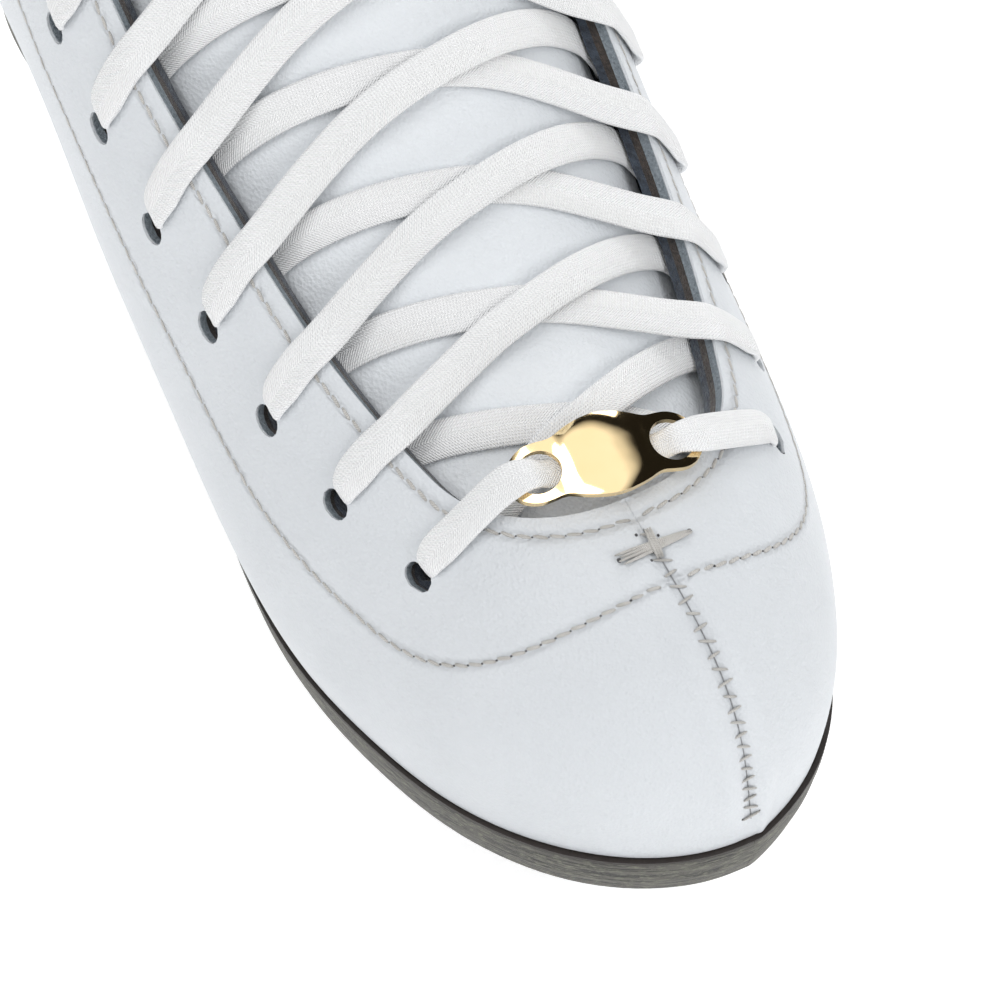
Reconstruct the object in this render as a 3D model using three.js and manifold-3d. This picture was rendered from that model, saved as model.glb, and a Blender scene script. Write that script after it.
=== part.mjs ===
// A right-foot figure skate: laced leather boot, stacked leather sole and heel, and a screwed-on steel blade.
// Millimetres, +Z up. The toe points along -Y and the inner (medial) side along +X.
// The blade stands on the ice at z = 0, and the origin is under the middle of the whole skate.
import * as THREE from "three";
import { mergeVertices } from "three/addons/utils/BufferGeometryUtils.js";
import Module from "manifold-3d";

const wasm = await Module();
wasm.setup();

// ---------------------------------------------------------------- driving dimensions
const BOOT_LENGTH = 262; // toe tip to heel back, at the feather line
const BOOT_WIDTH = 1; // widths below are multiplied by this
const BLADE_LINE_X = 5; // the blade runs this far to the medial side of the last's own axis
const ORIGIN_S = 120; // y = 0 while building: the middle of the blade's contact, forward of the heel back
const GAP = 0.3; // clearance between pieces that touch on the real skate

const LEATHER = 2.0; // outer leather
const STAY = 1.0; // stiffening layer between leather and lining
const LINING = 1.2;
const TONGUE_LEATHER = 1.6;
const TONGUE_FOAM = 5.0;

const WELT = 2.6; // sole layers, from the top
const MIDSOLE = 3.6;
const OUTSOLE = 3.8;
const BALL_Z = 60; // height of the foot bed's underside over the ice at the ball of the foot
const HEEL_RISE = 40; // and how much higher it is at the heel

const PLATE = 2.4; // blade plates
const RUNNER_WIDTH = 4.0; // blade thickness
const RUNNER_HEIGHT = 15;
const CONTACT_LENGTH = 20; // flat contact patch, as long as a 2.1 m rocker rests on
const ROCKER_RADIUS = 2100;
const HEEL_LIFTS = 4;

const EYELETS = 7; // punched holes on each side
const EYELET_DIAMETER = 5.0;
const EYELET_INSET = 18.5; // degrees round the section from the facing's edge
const INNER_HOLE_EXTRA = 1.4;
const HOOKS = 4; // lace hooks on each side, above the holes
const HOOK_INSET = 13;
const HOOK_WIDTH = 6.4;
const RIVET_DIAMETER = 3.0;

const LACE_WIDTH = 6.6;
const LACE_THICKNESS = 1.3;
const LACE_IN_HOLE = [0.66 * EYELET_DIAMETER, 0.36 * EYELET_DIAMETER]; // width and thickness, bunched
const LACE_IN_TAG = 4.9; // its width where it passes through the tag

const TAG_LENGTH = 33;
const TAG_WIDTH = 14.5;
const TAG_THICKNESS = 1.2;
const TAG_HOLE = 7.4;
const TAG_RIM = 1.5;
const TAG_BEND = 42; // radius that its length is bent to
const TAG_LACE_CLEARANCE = 0.55; // play between the tag and the lace it slides on

const SCREW = { head: 8.4, headDepth: 2.0, shank: 4.0, length: 9.6, socket: 2.6 };

// ---------------------------------------------------------------- the last
// One row for each station from the toe tip, over the instep, to the top of the shaft.
// s is the distance forward of the heel back, z the height over the ball's bed.
// ridge s, ridge z: the centre-front line. centre x: where that line lies.
// edge s, edge z: the feather line, and past the heel the centre-back line.
// lateral, medial: half widths. tuck: feather half width over the full one. power: fullness of the section.
// open lateral, open medial: the facing's edge, in degrees round the section from the ridge.
const LAST = [
  [262, 0, 10, 262, 0, 0, 0, 0.97, 2, 24, 24],
  [262.3, 12, 9, 262, 0, 7.5, 3, 0.97, 2, 24, 24],
  [260, 28, 8.5, 257, 0, 20, 15, 0.97, 2, 24, 24],
  [251, 40.5, 7.5, 247, 0, 31, 26.5, 0.97, 2.05, 24, 24],
  [236, 47.5, 6, 232, 0, 39, 35.5, 0.97, 2.1, 24, 26],
  [217, 51.5, 5.5, 215, 0, 44, 42.5, 0.965, 2.1, 29, 34],
  [197, 58, 5, 196, 0, 48, 45.5, 0.95, 2.1, 34, 44],
  [177, 68.5, 5.5, 176, 0.5, 49.5, 46, 0.92, 2.1, 40, 51],
  [158, 83, 5.5, 154, 4, 49, 46.5, 0.86, 2.1, 45.5, 54],
  [140, 98, 5, 130, 13, 49, 46.5, 0.77, 2.1, 51, 56],
  [125, 114, 4.5, 104, 26, 48.5, 46, 0.68, 2.1, 55, 57],
  [114, 130, 4, 76, 36.5, 47.5, 45, 0.64, 2.15, 56, 57],
  [108, 146, 3.5, 48, 40, 47, 44, 0.64, 2.25, 55, 56],
  [106, 162, 3, 25, 40.5, 46.5, 44, 0.64, 2.4, 54, 55],
  [106.5, 174, 2.5, 1.6, 40.5, 45.5, 44, 0.42, 2.5, 53, 54],
  [108, 184, 2, -1.5, 40.5, 45, 44, 0, 2.5, 52, 53],
  [110, 192, 2, -1.2, 41, 45, 44, 0, 2.4, 51, 52],
  [112, 200, 2, -1, 56, 45, 44, 0, 2.3, 50, 51],
  [114.5, 208, 2, 3, 95, 45, 44, 0, 2.2, 49, 50],
  [117, 215, 2, 9.5, 138, 45, 44.5, 0, 2.2, 48, 49],
  [119, 222, 2, 11, 180, 45.5, 45, 0, 2.2, 47, 48],
  [121, 230, 2, 8, 214, 46, 45.5, 0, 2.2, 46, 47],
  [123, 240, 2, 4, 244, 46, 45.5, 0, 2.2, 45, 46],
];
const LAST_LENGTH = 262;
const HEEL_BACK = 15.6; // station at which the feather line reaches the centre back
const TOP = 20; // station of the shaft's top edge
const THROAT = 4.57; // station of the throat's lowest point
const THROAT_ROUND = 0.95; // stations over which the throat opens out
const PAD_FROM = 19.2; // station at which the padded collar starts
const DEG = Math.PI / 180;

// The stations as a uniform cubic B-spline, whose ends are mirrored so that it starts at the first row.
function station(k) {
  const last = LAST.length - 1;
  const at = Math.min(Math.max(k, 0), last);
  const i = Math.min(Math.floor(at), last - 1);
  const t = at - i;
  const weights = [
    (1 - t) ** 3,
    3 * t ** 3 - 6 * t ** 2 + 4,
    -3 * t ** 3 + 3 * t ** 2 + 3 * t + 1,
    t ** 3,
  ];
  const row = (j, column) => {
    if (j < 0) return 2 * LAST[0][column] - LAST[1][column];
    if (j > last) return 2 * LAST[last][column] - LAST[last - 1][column];
    return LAST[j][column];
  };
  const value = (column) =>
    weights.reduce((sum, w, n) => sum + w * row(i - 1 + n, column), 0) / 6;
  const long = BOOT_LENGTH / LAST_LENGTH;
  const rise = HEEL_RISE / 40;
  return {
    ridgeS: value(0) * long,
    ridgeZ: value(1) + BALL_Z + (rise - 1) * Math.min(value(1), 40),
    x: value(2) - BLADE_LINE_X,
    edgeS: value(3) * long,
    edgeZ: value(4) + BALL_Z + (rise - 1) * Math.min(value(4), 40),
    half: [value(5) * BOOT_WIDTH, value(6) * BOOT_WIDTH],
    tuck: Math.min(Math.max(value(7), 0), 1),
    power: value(8),
    open: [value(9) * DEG, value(10) * DEG],
  };
}

const LATERAL = 0;
const MEDIAL = 1;
const signOf = (side) => (side === LATERAL ? -1 : 1);
const lowest = (q) => Math.PI - Math.asin(q.tuck ** (q.power / 2)); // the section's angle at the feather line
const feather = (k) => lowest(station(k));

// A point of the boot's outer surface: station k, angle round the section from the ridge.
function surface(k, angle, side) {
  const q = station(k);
  const down = (1 - Math.cos(angle)) / (1 - Math.cos(lowest(q)));
  const s = q.ridgeS + (q.edgeS - q.ridgeS) * down;
  const z = q.ridgeZ + (q.edgeZ - q.ridgeZ) * down;
  const turn = Math.sin(angle);
  const out = Math.sign(turn) * Math.abs(turn) ** (2 / q.power);
  const half = q.half[turn < 0 ? 1 - side : side];
  return new THREE.Vector3(q.x + signOf(side) * half * out, ORIGIN_S - s, z);
}

const TOE_FORWARD = new THREE.Vector3(0, -1, 0);
function outward(k, angle, side) {
  if (k < 0.02) return TOE_FORWARD.clone();
  const step = 0.01;
  const last = LAST.length - 1;
  const along = surface(Math.min(k + step, last), angle, side).sub(
    surface(Math.max(k - step, 0), angle, side),
  );
  const round = surface(k, angle + step, side).sub(
    surface(k, angle - step, side),
  );
  const normal = round.cross(along).normalize();
  return side === LATERAL ? normal.negate() : normal;
}

// The same point, set in by a depth below the outer surface. A negative depth stands proud.
function skin(k, angle, side, depth) {
  const p = surface(k, angle, side);
  return depth ? p.addScaledVector(outward(k, angle, side), -depth) : p;
}

// The facing's edge: a rounded throat that widens up the instep. Zero below the throat, where the halves meet.
function facing(k, side) {
  const t = Math.min(Math.max((k - THROAT) / THROAT_ROUND, 0), 1);
  return station(k).open[side] * (1 - (1 - t) ** 2.2) ** (1 / 2.2);
}

// ---------------------------------------------------------------- mesh helpers
// A closed solid between an outer and an inner grid of points, with strips round the four edges.
function slab(outer, inner) {
  const rows = outer.length;
  const columns = outer[0].length;
  const points = [...outer.flat(), ...inner.flat()];
  const top = (i, j) => i * columns + j;
  const under = (i, j) => rows * columns + i * columns + j;
  const triangles = [];
  const quad = (a, b, c, d) => triangles.push([a, b, c], [a, c, d]);
  for (let i = 0; i < rows - 1; i++)
    for (let j = 0; j < columns - 1; j++) {
      quad(top(i, j), top(i + 1, j), top(i + 1, j + 1), top(i, j + 1));
      quad(under(i, j), under(i, j + 1), under(i + 1, j + 1), under(i + 1, j));
    }
  for (let i = 0; i < rows - 1; i++) {
    quad(top(i, 0), under(i, 0), under(i + 1, 0), top(i + 1, 0));
    const e = columns - 1;
    quad(top(i, e), top(i + 1, e), under(i + 1, e), under(i, e));
  }
  for (let j = 0; j < columns - 1; j++) {
    quad(top(0, j), top(0, j + 1), under(0, j + 1), under(0, j));
    const e = rows - 1;
    quad(top(e, j), under(e, j), under(e, j + 1), top(e, j + 1));
  }
  return closed(points, triangles);
}

// Welds points that coincide, drops triangles that collapse, and turns the faces outwards.
function closed(points, triangles) {
  const places = new Map();
  const welded = [];
  const index = points.map((p) => {
    const key = [p.x, p.y, p.z].map((v) => Math.round(v * 1000)).join();
    if (!places.has(key)) {
      places.set(key, welded.length / 3);
      welded.push(p.x, p.y, p.z);
    }
    return places.get(key);
  });
  let faces = triangles
    .map((t) => t.map((v) => index[v]))
    .filter(([a, b, c]) => a !== b && b !== c && a !== c);
  const at = (v) => new THREE.Vector3().fromArray(welded, v * 3);
  const volume = faces.reduce(
    (sum, [a, b, c]) => sum + at(a).dot(at(b).cross(at(c))) / 6,
    0,
  );
  if (volume < 0) faces = faces.map(([a, b, c]) => [a, c, b]);
  const geometry = new THREE.BufferGeometry();
  geometry.setAttribute(
    "position",
    new THREE.BufferAttribute(new Float32Array(welded), 3),
  );
  geometry.setIndex(faces.flat());
  return geometry;
}

function manifoldOf(geometry) {
  const bare = geometry.clone();
  bare.deleteAttribute("normal");
  bare.deleteAttribute("uv");
  const merged = mergeVertices(bare, 1e-4);
  return new wasm.Manifold(
    new wasm.Mesh({
      numProp: 3,
      vertProperties: merged.attributes.position.array,
      triVerts: new Uint32Array(merged.index.array),
    }),
  );
}

function geometryOf(solid) {
  const mesh = solid.getMesh();
  const geometry = new THREE.BufferGeometry();
  geometry.setAttribute(
    "position",
    new THREE.BufferAttribute(Float32Array.from(mesh.vertProperties), 3),
  );
  geometry.setIndex([...mesh.triVerts]);
  return geometry;
}

const cut = (geometry, tools) =>
  geometryOf(
    tools.reduce(
      (solid, tool) => solid.subtract(manifoldOf(tool)),
      manifoldOf(geometry),
    ),
  );
const join = (...geometries) =>
  geometryOf(geometries.map(manifoldOf).reduce((a, b) => a.add(b)));

// A cylinder along an axis, from one distance to another from a point.
function rod(centre, axis, diameter, from, to, sides = 12) {
  const geometry = new THREE.CylinderGeometry(
    diameter / 2,
    diameter / 2,
    to - from,
    sides,
  );
  const turn = new THREE.Quaternion().setFromUnitVectors(
    new THREE.Vector3(0, 1, 0),
    axis,
  );
  return geometry
    .applyQuaternion(turn)
    .translate(...centre.clone().addScaledVector(axis, (from + to) / 2).toArray());
}

const spread = (from, to, count) =>
  Array.from({ length: count }, (_, i) => from + ((to - from) * i) / (count - 1));

// ---------------------------------------------------------------- materials
const material = (colour, roughness, metalness = 0) =>
  new THREE.MeshStandardMaterial({ color: colour, roughness, metalness });
const WHITE_LEATHER = material(0xe9ecf0, 0.45);
const SOLE_LEATHER = material(0x5f5d55, 0.6);
const STIFFENER = material(0x4a3b30, 0.85);
const DARK_LINING = material(0x1b2430, 0.85);
const FOAM = material(0xd8d8d4, 0.9);
const BOARD = material(0xa98f6c, 0.85);
const COTTON = material(0xf2f4f6, 0.9);
const STEEL = material(0xc9ccd0, 0.2, 1);
const GOLD = material(0xe0b450, 0.15, 1);
const CLEAR_TIP = material(0xe4e6e8, 0.3);

const skate = new THREE.Group();
function add(name, geometry, look) {
  const mesh = new THREE.Mesh(geometry, look);
  mesh.name = name;
  skate.add(mesh);
  return mesh;
}
const SIDES = [
  ["lateral", LATERAL],
  ["medial", MEDIAL],
];

// ---------------------------------------------------------------- eyelets and hooks
const eyeletStation = (i) => 5 + 0.95 * i - 0.016 * i * i;
const eyeletAngle = (i, side) =>
  facing(eyeletStation(i), side) + (EYELET_INSET + (i === 0 ? 3 : 0)) * DEG;
const hookStation = (i) => 11.3 + 1.25 * i + 0.16 * i * i;
const hookAngle = (i, side) => facing(hookStation(i), side) + HOOK_INSET * DEG;

// Holes for the laces and the hooks' rivets; those in the inner layers are punched a little wider.
function holes(side, wider = 0) {
  const drill = (k, angle, diameter) =>
    rod(surface(k, angle, side), outward(k, angle, side), diameter, -8, 3, 6);
  const made = [];
  for (let i = 0; i < EYELETS; i++)
    made.push(drill(eyeletStation(i), eyeletAngle(i, side), EYELET_DIAMETER + wider));
  for (let i = 0; i < HOOKS; i++)
    made.push(
      drill(hookStation(i), hookAngle(i, side), RIVET_DIAMETER + 2 * GAP + wider / 2),
    );
  return made;
}

// ---------------------------------------------------------------- boot layers
// Every layer samples the last at the same stations and the same shares of the way from the facing's edge
// to the feather line, so that layers a constant depth apart stay parallel.
const STATIONS = [
  ...[0, 0.3, 0.7, 1.2, 1.8, 2.4, 3, 3.6, 4.1],
  ...[0, 0.06, 0.2, 0.5, 1].map((t) => THROAT + t * THROAT_ROUND),
  ...spread(THROAT + THROAT_ROUND, 13.4, 11).slice(1),
  ...[14, 14.5, 14.9, 15.25, HEEL_BACK, 16.1, 16.8, 17.6, 18.4],
  PAD_FROM,
];
const SHARES = [0, 0.12, 0.24, 0.37, 0.5, 0.63, 0.76, 0.88, 1];
const STAY_SHARES = [0, 0.12, 0.24, 0.37];
const LINING_SHARES = [0, 0.12, 0.24, 0.37, 0.5, 0.76, 1];
const stationsBetween = (from, to) => [
  from,
  ...STATIONS.filter((k) => k > from + 0.1 && k < to - 0.1),
  to,
];

// The edges of one half of the boot. A gap keeps the halves apart along the toe seam and the centre back.
const SEAM_HALF = GAP / 2;
function firstAngle(k, side) {
  const half = station(k).half[side];
  const seam = half > 1 ? SEAM_HALF / half : 0;
  return Math.max(facing(k, side), seam);
}
const lastAngle = (k) => Math.min(feather(k), Math.PI - 0.3 * DEG);
const between = (k, side, share) =>
  firstAngle(k, side) + (lastAngle(k) - firstAngle(k, side)) * share;

// One layer of one half: a depth, a thickness, the stations and the shares that it covers.
function halfLayer(side, depth, thickness, stations, shares) {
  const grid = (d) =>
    stations.map((k) => shares.map((share) => skin(k, between(k, side, share), side, d)));
  return slab(grid(depth), grid(depth + thickness));
}

const STAY_DEPTH = LEATHER + GAP;
const LINING_DEPTH = STAY_DEPTH + STAY + GAP;
const WALL = LINING_DEPTH + LINING; // the whole wall, leather to lining

for (const [name, side] of SIDES) {
  add(
    `upper_${name}`,
    cut(halfLayer(side, 0, LEATHER, STATIONS, SHARES), holes(side)),
    WHITE_LEATHER,
  );
  add(
    `lining_${name}`,
    cut(halfLayer(side, LINING_DEPTH, LINING, STATIONS, LINING_SHARES), holes(side, INNER_HOLE_EXTRA)),
    DARK_LINING,
  );
  const stayStations = stationsBetween(THROAT + THROAT_ROUND * 0.5, PAD_FROM);
  add(
    `facing_stay_${name}`,
    cut(
      halfLayer(side, STAY_DEPTH, STAY, stayStations, STAY_SHARES),
      holes(side, INNER_HOLE_EXTRA),
    ),
    STIFFENER,
  );
}

// A layer that crosses the ridge, from one side round to the other, out to a reach on each side.
function bridgeLayer(depth, thickness, stations, shares, reach) {
  const across = [...shares.slice(1).reverse().map((share) => -share), ...shares];
  const grid = (d) =>
    stations.map((k) =>
      across.map((share) => {
        const side = share < 0 ? LATERAL : MEDIAL;
        return skin(k, Math.abs(share) * reach(k, side), side, d);
      }),
    );
  return slab(grid(depth), grid(depth + thickness));
}
const TOE_PUFF_TO = 3.6;
add(
  "toe_puff",
  bridgeLayer(
    STAY_DEPTH,
    STAY,
    stationsBetween(0, TOE_PUFF_TO),
    SHARES.slice(0, 8),
    lastAngle,
  ),
  STIFFENER,
);

// The heel counter cups the heel between leather and lining: two wings joined round the centre back.
const COUNTER = 0.4;
const COUNTER_DEPTH = STAY_DEPTH + (STAY - COUNTER) * 0.7;
const COUNTER_FROM = 12.6;
const COUNTER_TO = 17.6;
const counterStations = stationsBetween(COUNTER_FROM, COUNTER_TO);
const COUNTER_SHARES = [0.5, 0.63, 0.76];
const counterWing = (side) =>
  halfLayer(side, COUNTER_DEPTH, COUNTER, counterStations, COUNTER_SHARES);
const SPINE_SHARES = [0.63, 0.76, 0.88, 1];
const counterSpine = (d) =>
  counterStations
    .filter((k) => k > HEEL_BACK + 0.6)
    .map((k) => {
      const wing = (side) =>
        SPINE_SHARES.map((share) => skin(k, between(k, side, share), side, d));
      return [...wing(LATERAL), ...wing(MEDIAL).reverse()];
    });
add(
  "heel_counter",
  join(
    counterWing(LATERAL),
    counterWing(MEDIAL),
    slab(counterSpine(COUNTER_DEPTH + 0.05), counterSpine(COUNTER_DEPTH + COUNTER - 0.05)),
  ),
  STIFFENER,
);

// The backstay strip covers the centre-back seam.
const BACKSTAY_HALF = 9; // degrees at the top, wider below
const backstayRows = spread(HEEL_BACK + 0.12, PAD_FROM, 9);
const backstay = (d) =>
  backstayRows.map((k) =>
    spread(-1, 1, 5).map((share) =>
      skin(k, Math.PI - share * BACKSTAY_HALF * DEG, LATERAL, d),
    ),
  );
add("backstay", slab(backstay(-1.5), backstay(-GAP)), WHITE_LEATHER);

// The padded collar runs round the top of the shaft from facing to facing.
const COLLAR_PROUD = 0.6;
const COLLAR_PADDING = 2.6;
const collarRows = spread(PAD_FROM + 0.06, TOP, 3);
const collarAngles = (k) => [
  ...spread(facing(k, LATERAL), Math.PI, 11).map((a) => [a, LATERAL]),
  ...spread(Math.PI, facing(k, MEDIAL), 11)
    .slice(1)
    .map((a) => [a, MEDIAL]),
];
// The padding thins out towards the facings, where the tongue lies under it.
function collarInside(k, angle, side) {
  const share = (angle - facing(k, side) - 14 * DEG) / (14 * DEG);
  return WALL + COLLAR_PADDING * Math.min(Math.max(share, 0), 1);
}
const collar = (depth) =>
  collarRows.map((k) =>
    collarAngles(k).map(([a, side]) => skin(k, a, side, depth(k, a, side))),
  );
add("collar", slab(collar(() => -COLLAR_PROUD), collar(collarInside)), WHITE_LEATHER);

// ---------------------------------------------------------------- tongue
const LACE_RUN = WALL + 0.6 + LACE_THICKNESS / 2; // depth of the lace where it passes under a facing
const TONGUE_DEPTH = LACE_RUN + LACE_THICKNESS / 2 + 0.6;
const TONGUE_FROM = 4.0;
const TONGUE_TO = 21.9;
const tongueReach = (k, side) => facing(Math.max(k, THROAT + 0.6), side) + 12 * DEG;
const tongueStations = [
  ...stationsBetween(TONGUE_FROM, PAD_FROM),
  ...spread(PAD_FROM, TONGUE_TO, 4).slice(1),
];
const TONGUE_SHARES = [0, 0.27, 0.52, 0.76, 1];
add(
  "tongue",
  bridgeLayer(TONGUE_DEPTH, TONGUE_LEATHER, tongueStations, TONGUE_SHARES, tongueReach),
  WHITE_LEATHER,
);
const PAD_DEPTH = TONGUE_DEPTH + TONGUE_LEATHER + GAP;
add(
  "tongue_pad",
  bridgeLayer(
    PAD_DEPTH,
    TONGUE_FOAM,
    tongueStations.slice(3, -1),
    TONGUE_SHARES.slice(0, 4),
    tongueReach,
  ),
  FOAM,
);

// ---------------------------------------------------------------- sole layers
// The sole's outline at a station, moved out from the feather line by a distance.
function solePoint(k, side, out, z) {
  const q = station(k);
  const edge = (at, s) => {
    const r = station(at);
    return new THREE.Vector2(r.x + signOf(s) * r.half[s] * r.tuck, ORIGIN_S - r.edgeS);
  };
  const p = edge(k, side);
  const ahead = edge(Math.min(k + 0.02, HEEL_BACK), side);
  const behind = edge(Math.max(k - 0.02, 0), side);
  let normal = new THREE.Vector2(ahead.y - behind.y, behind.x - ahead.x).normalize();
  if (side === LATERAL) normal.negate();
  if (k < 0.02) normal = new THREE.Vector2(0, -1);
  if (k > HEEL_BACK - 0.02) normal = new THREE.Vector2(0, 1);
  const seat = Math.min(q.edgeZ, BALL_Z + HEEL_RISE + 0.5);
  return new THREE.Vector3(p.x + normal.x * out, p.y + normal.y * out, seat - z);
}
function soleLayer(top, thickness, outTop, outBottom, options = {}) {
  const { to = HEEL_BACK, from = 0, across = 3 } = options;
  const rows = stationsBetween(from, to);
  const grid = (z, out) =>
    rows.map((k) => {
      const a = solePoint(k, LATERAL, out, z);
      const b = solePoint(k, MEDIAL, out, z);
      return spread(0, 1, across).map((t) => a.clone().lerp(b, t));
    });
  return slab(grid(top, outTop), grid(top + thickness, outBottom));
}

// Blade screws: places as distance forward of the heel back, and across from the blade's line.
const FORE = 205 * (BOOT_LENGTH / LAST_LENGTH - 1); // what stands under the ball moves with the length
const SOLE_SCREWS = [
  [228, -13],
  [228, 13],
  [206, -17],
  [206, 17],
  [180, -15],
  [180, 15],
].map(([s, x]) => [s + FORE, x]);
const HEEL_SCREWS = [
  [44, -14],
  [44, 14],
  [18, -12],
  [18, 12],
];
const SOLE_STACK = WELT + MIDSOLE + OUTSOLE;
const SOLE_BOTTOM = BALL_Z - GAP - SOLE_STACK - 2 * GAP; // underside of the outsole at the ball
const SOLE_PLATE_TOP = SOLE_BOTTOM - GAP;
const HEEL_PLATE_TOP = SOLE_PLATE_TOP + 2.5;
const UP = new THREE.Vector3(0, 0, 1);
const screwPlace = ([s, x], z) => new THREE.Vector3(x, ORIGIN_S - s, z);
const bores = (places, z, length, extra = 2 * GAP) =>
  places.map((place) =>
    rod(screwPlace(place, z), UP, SCREW.shank + extra, -1, length + 0.4, 8),
  );
const soleBores = () =>
  bores(SOLE_SCREWS, SOLE_PLATE_TOP - PLATE, SCREW.length);

const WELT_TOP = GAP;
const MIDSOLE_TOP = WELT_TOP + WELT + GAP;
const OUTSOLE_TOP = MIDSOLE_TOP + MIDSOLE + GAP;
add("welt", soleLayer(WELT_TOP, WELT, 0.7, 0.5), SOLE_LEATHER);
add("midsole", cut(soleLayer(MIDSOLE_TOP, MIDSOLE, 0.2, -0.5), soleBores()), SOLE_LEATHER);
add("outsole", cut(soleLayer(OUTSOLE_TOP, OUTSOLE, -0.7, -2.0), soleBores()), SOLE_LEATHER);

const BOARD_THICKNESS = 2.0;
const FOOTBED = 3.0;
const inside = { from: 0.9, to: 14.9 };
add(
  "insole_board",
  soleLayer(-GAP - BOARD_THICKNESS, BOARD_THICKNESS, -WALL - 2.2, -WALL - 2.2, inside),
  BOARD,
);
add(
  "footbed",
  soleLayer(
    -2 * GAP - BOARD_THICKNESS - FOOTBED,
    FOOTBED,
    -WALL - 3,
    -WALL - 2.6,
    inside,
  ),
  FOAM,
);

// ---------------------------------------------------------------- heel
// The heel is a stack of leather lifts, each a little smaller than the one above it.
const HEEL_TOP = BALL_Z + HEEL_RISE - SOLE_STACK - 2; // before the sole's curve trims it
const HEEL_BOTTOM = HEEL_PLATE_TOP + GAP;
const HEEL_FRONT = 62; // breast line at the top of the stack, forward of the heel back
const TOP_PIECE = 5;
const heelHeight = HEEL_TOP - HEEL_BOTTOM;
const liftHeight = (heelHeight - TOP_PIECE - HEEL_LIFTS * GAP) / HEEL_LIFTS;
function heelOutline(z) {
  const drop = (HEEL_TOP - z) / heelHeight; // 0 at the top of the stack, 1 at the ground end
  const inset = 1.8 + 3.2 * drop;
  const front = HEEL_FRONT - 7 * drop ** 1.5;
  const points = [];
  const rows = spread(12.0, HEEL_BACK, 12);
  const edge = (k, side) => solePoint(k, side, -inset, 0);
  const clip = (p) => new THREE.Vector2(p.x, Math.max(p.y, ORIGIN_S - front));
  rows.forEach((k) => points.push(clip(edge(k, LATERAL))));
  [...rows]
    .reverse()
    .slice(1)
    .forEach((k) => points.push(clip(edge(k, MEDIAL))));
  return points;
}
function heelSlice(top, bottom) {
  const ring = (z) => heelOutline(z).map((p) => new THREE.Vector3(p.x, p.y, z));
  const pairs = (z) => {
    const points = ring(z);
    const half = (points.length - 1) / 2;
    return spread(0, half, half + 1).map((i) => {
      const a = points[i];
      const b = points[points.length - 1 - i];
      return spread(0, 1, 3).map((t) => a.clone().lerp(b, t));
    });
  };
  return slab(pairs(top), pairs(bottom));
}
const heelBores = () => bores(HEEL_SCREWS, HEEL_PLATE_TOP - PLATE, SCREW.length);
for (let i = 0; i < HEEL_LIFTS; i++) {
  const top = HEEL_TOP - i * (liftHeight + GAP);
  const lift = heelSlice(top, top - liftHeight);
  const tools = i === 0 ? [soleLayer(OUTSOLE_TOP, OUTSOLE + GAP, 4, 4)] : [];
  if (i === HEEL_LIFTS - 1) tools.push(...heelBores());
  add(`heel_lift_${i + 1}`, cut(lift, tools), SOLE_LEATHER);
}
add(
  "heel_top_piece",
  cut(heelSlice(HEEL_BOTTOM + TOP_PIECE, HEEL_BOTTOM), heelBores()),
  SOLE_LEATHER,
);

// ---------------------------------------------------------------- blade
const PICK_FRONT = 238 + FORE; // foremost tooth, forward of the heel back
const BLADE_TAIL = -6;
const TOE_POST = [190 + FORE, 226 + FORE]; // where the front stanchion stands on the runner
const HEEL_POST = [16, 46];
const POST_SEAT = 21; // top of the runner under both stanchions
const rockerZ = (s) => {
  const away = Math.max(0, Math.abs(s - ORIGIN_S) - CONTACT_LENGTH / 2);
  return away ** 2 / (2 * ROCKER_RADIUS);
};
function runner() {
  const shape = new THREE.Shape();
  const bottom = spread(BLADE_TAIL + 3, ORIGIN_S - CONTACT_LENGTH / 2, 9).concat(
    spread(ORIGIN_S + CONTACT_LENGTH / 2, 212 + FORE, 8),
  );
  shape.moveTo(BLADE_TAIL, RUNNER_HEIGHT + 1);
  shape.quadraticCurveTo(
    BLADE_TAIL - 1,
    rockerZ(BLADE_TAIL) + 5,
    BLADE_TAIL + 3,
    rockerZ(BLADE_TAIL + 3),
  );
  bottom.slice(1).forEach((s) => shape.lineTo(s, rockerZ(s)));
  const teeth = 4; // the toe pick's teeth climb forward from the end of the rocker
  for (let i = 0; i < teeth; i++) {
    const s = 215 + FORE + i * 4.1;
    const z = 4.2 + i * 3.4;
    shape.lineTo(s, z + 2.6);
    shape.lineTo(s + 3.4, z - 0.6);
  }
  shape.lineTo(PICK_FRONT - 4, 19);
  shape.lineTo(PICK_FRONT, 22);
  shape.lineTo(PICK_FRONT - 3, 31);
  shape.quadraticCurveTo(PICK_FRONT - 5, 32, PICK_FRONT - 9, POST_SEAT);
  shape.lineTo(TOE_POST[0], POST_SEAT);
  shape.quadraticCurveTo(TOE_POST[0] - 10, RUNNER_HEIGHT + 1, TOE_POST[0] - 26, RUNNER_HEIGHT);
  shape.lineTo(HEEL_POST[1] + 24, RUNNER_HEIGHT);
  shape.quadraticCurveTo(HEEL_POST[1] + 10, RUNNER_HEIGHT + 1, HEEL_POST[1], POST_SEAT);
  shape.lineTo(HEEL_POST[0], POST_SEAT);
  shape.quadraticCurveTo(6, RUNNER_HEIGHT + 3, BLADE_TAIL, RUNNER_HEIGHT + 1);
  const geometry = new THREE.ExtrudeGeometry(shape, {
    depth: RUNNER_WIDTH,
    bevelEnabled: false,
    curveSegments: 5,
  });
  return standUp(geometry, RUNNER_WIDTH);
}
// Turns a profile drawn in s and z, and extruded by a width, to stand on the blade's line.
function standUp(geometry, width) {
  return geometry
    .translate(0, 0, -width / 2)
    .applyMatrix4(
      new THREE.Matrix4().set(0, 0, -1, 0, -1, 0, 0, ORIGIN_S, 0, 1, 0, 0, 0, 0, 0, 1),
    );
}
add("blade_runner", runner(), STEEL);

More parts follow.
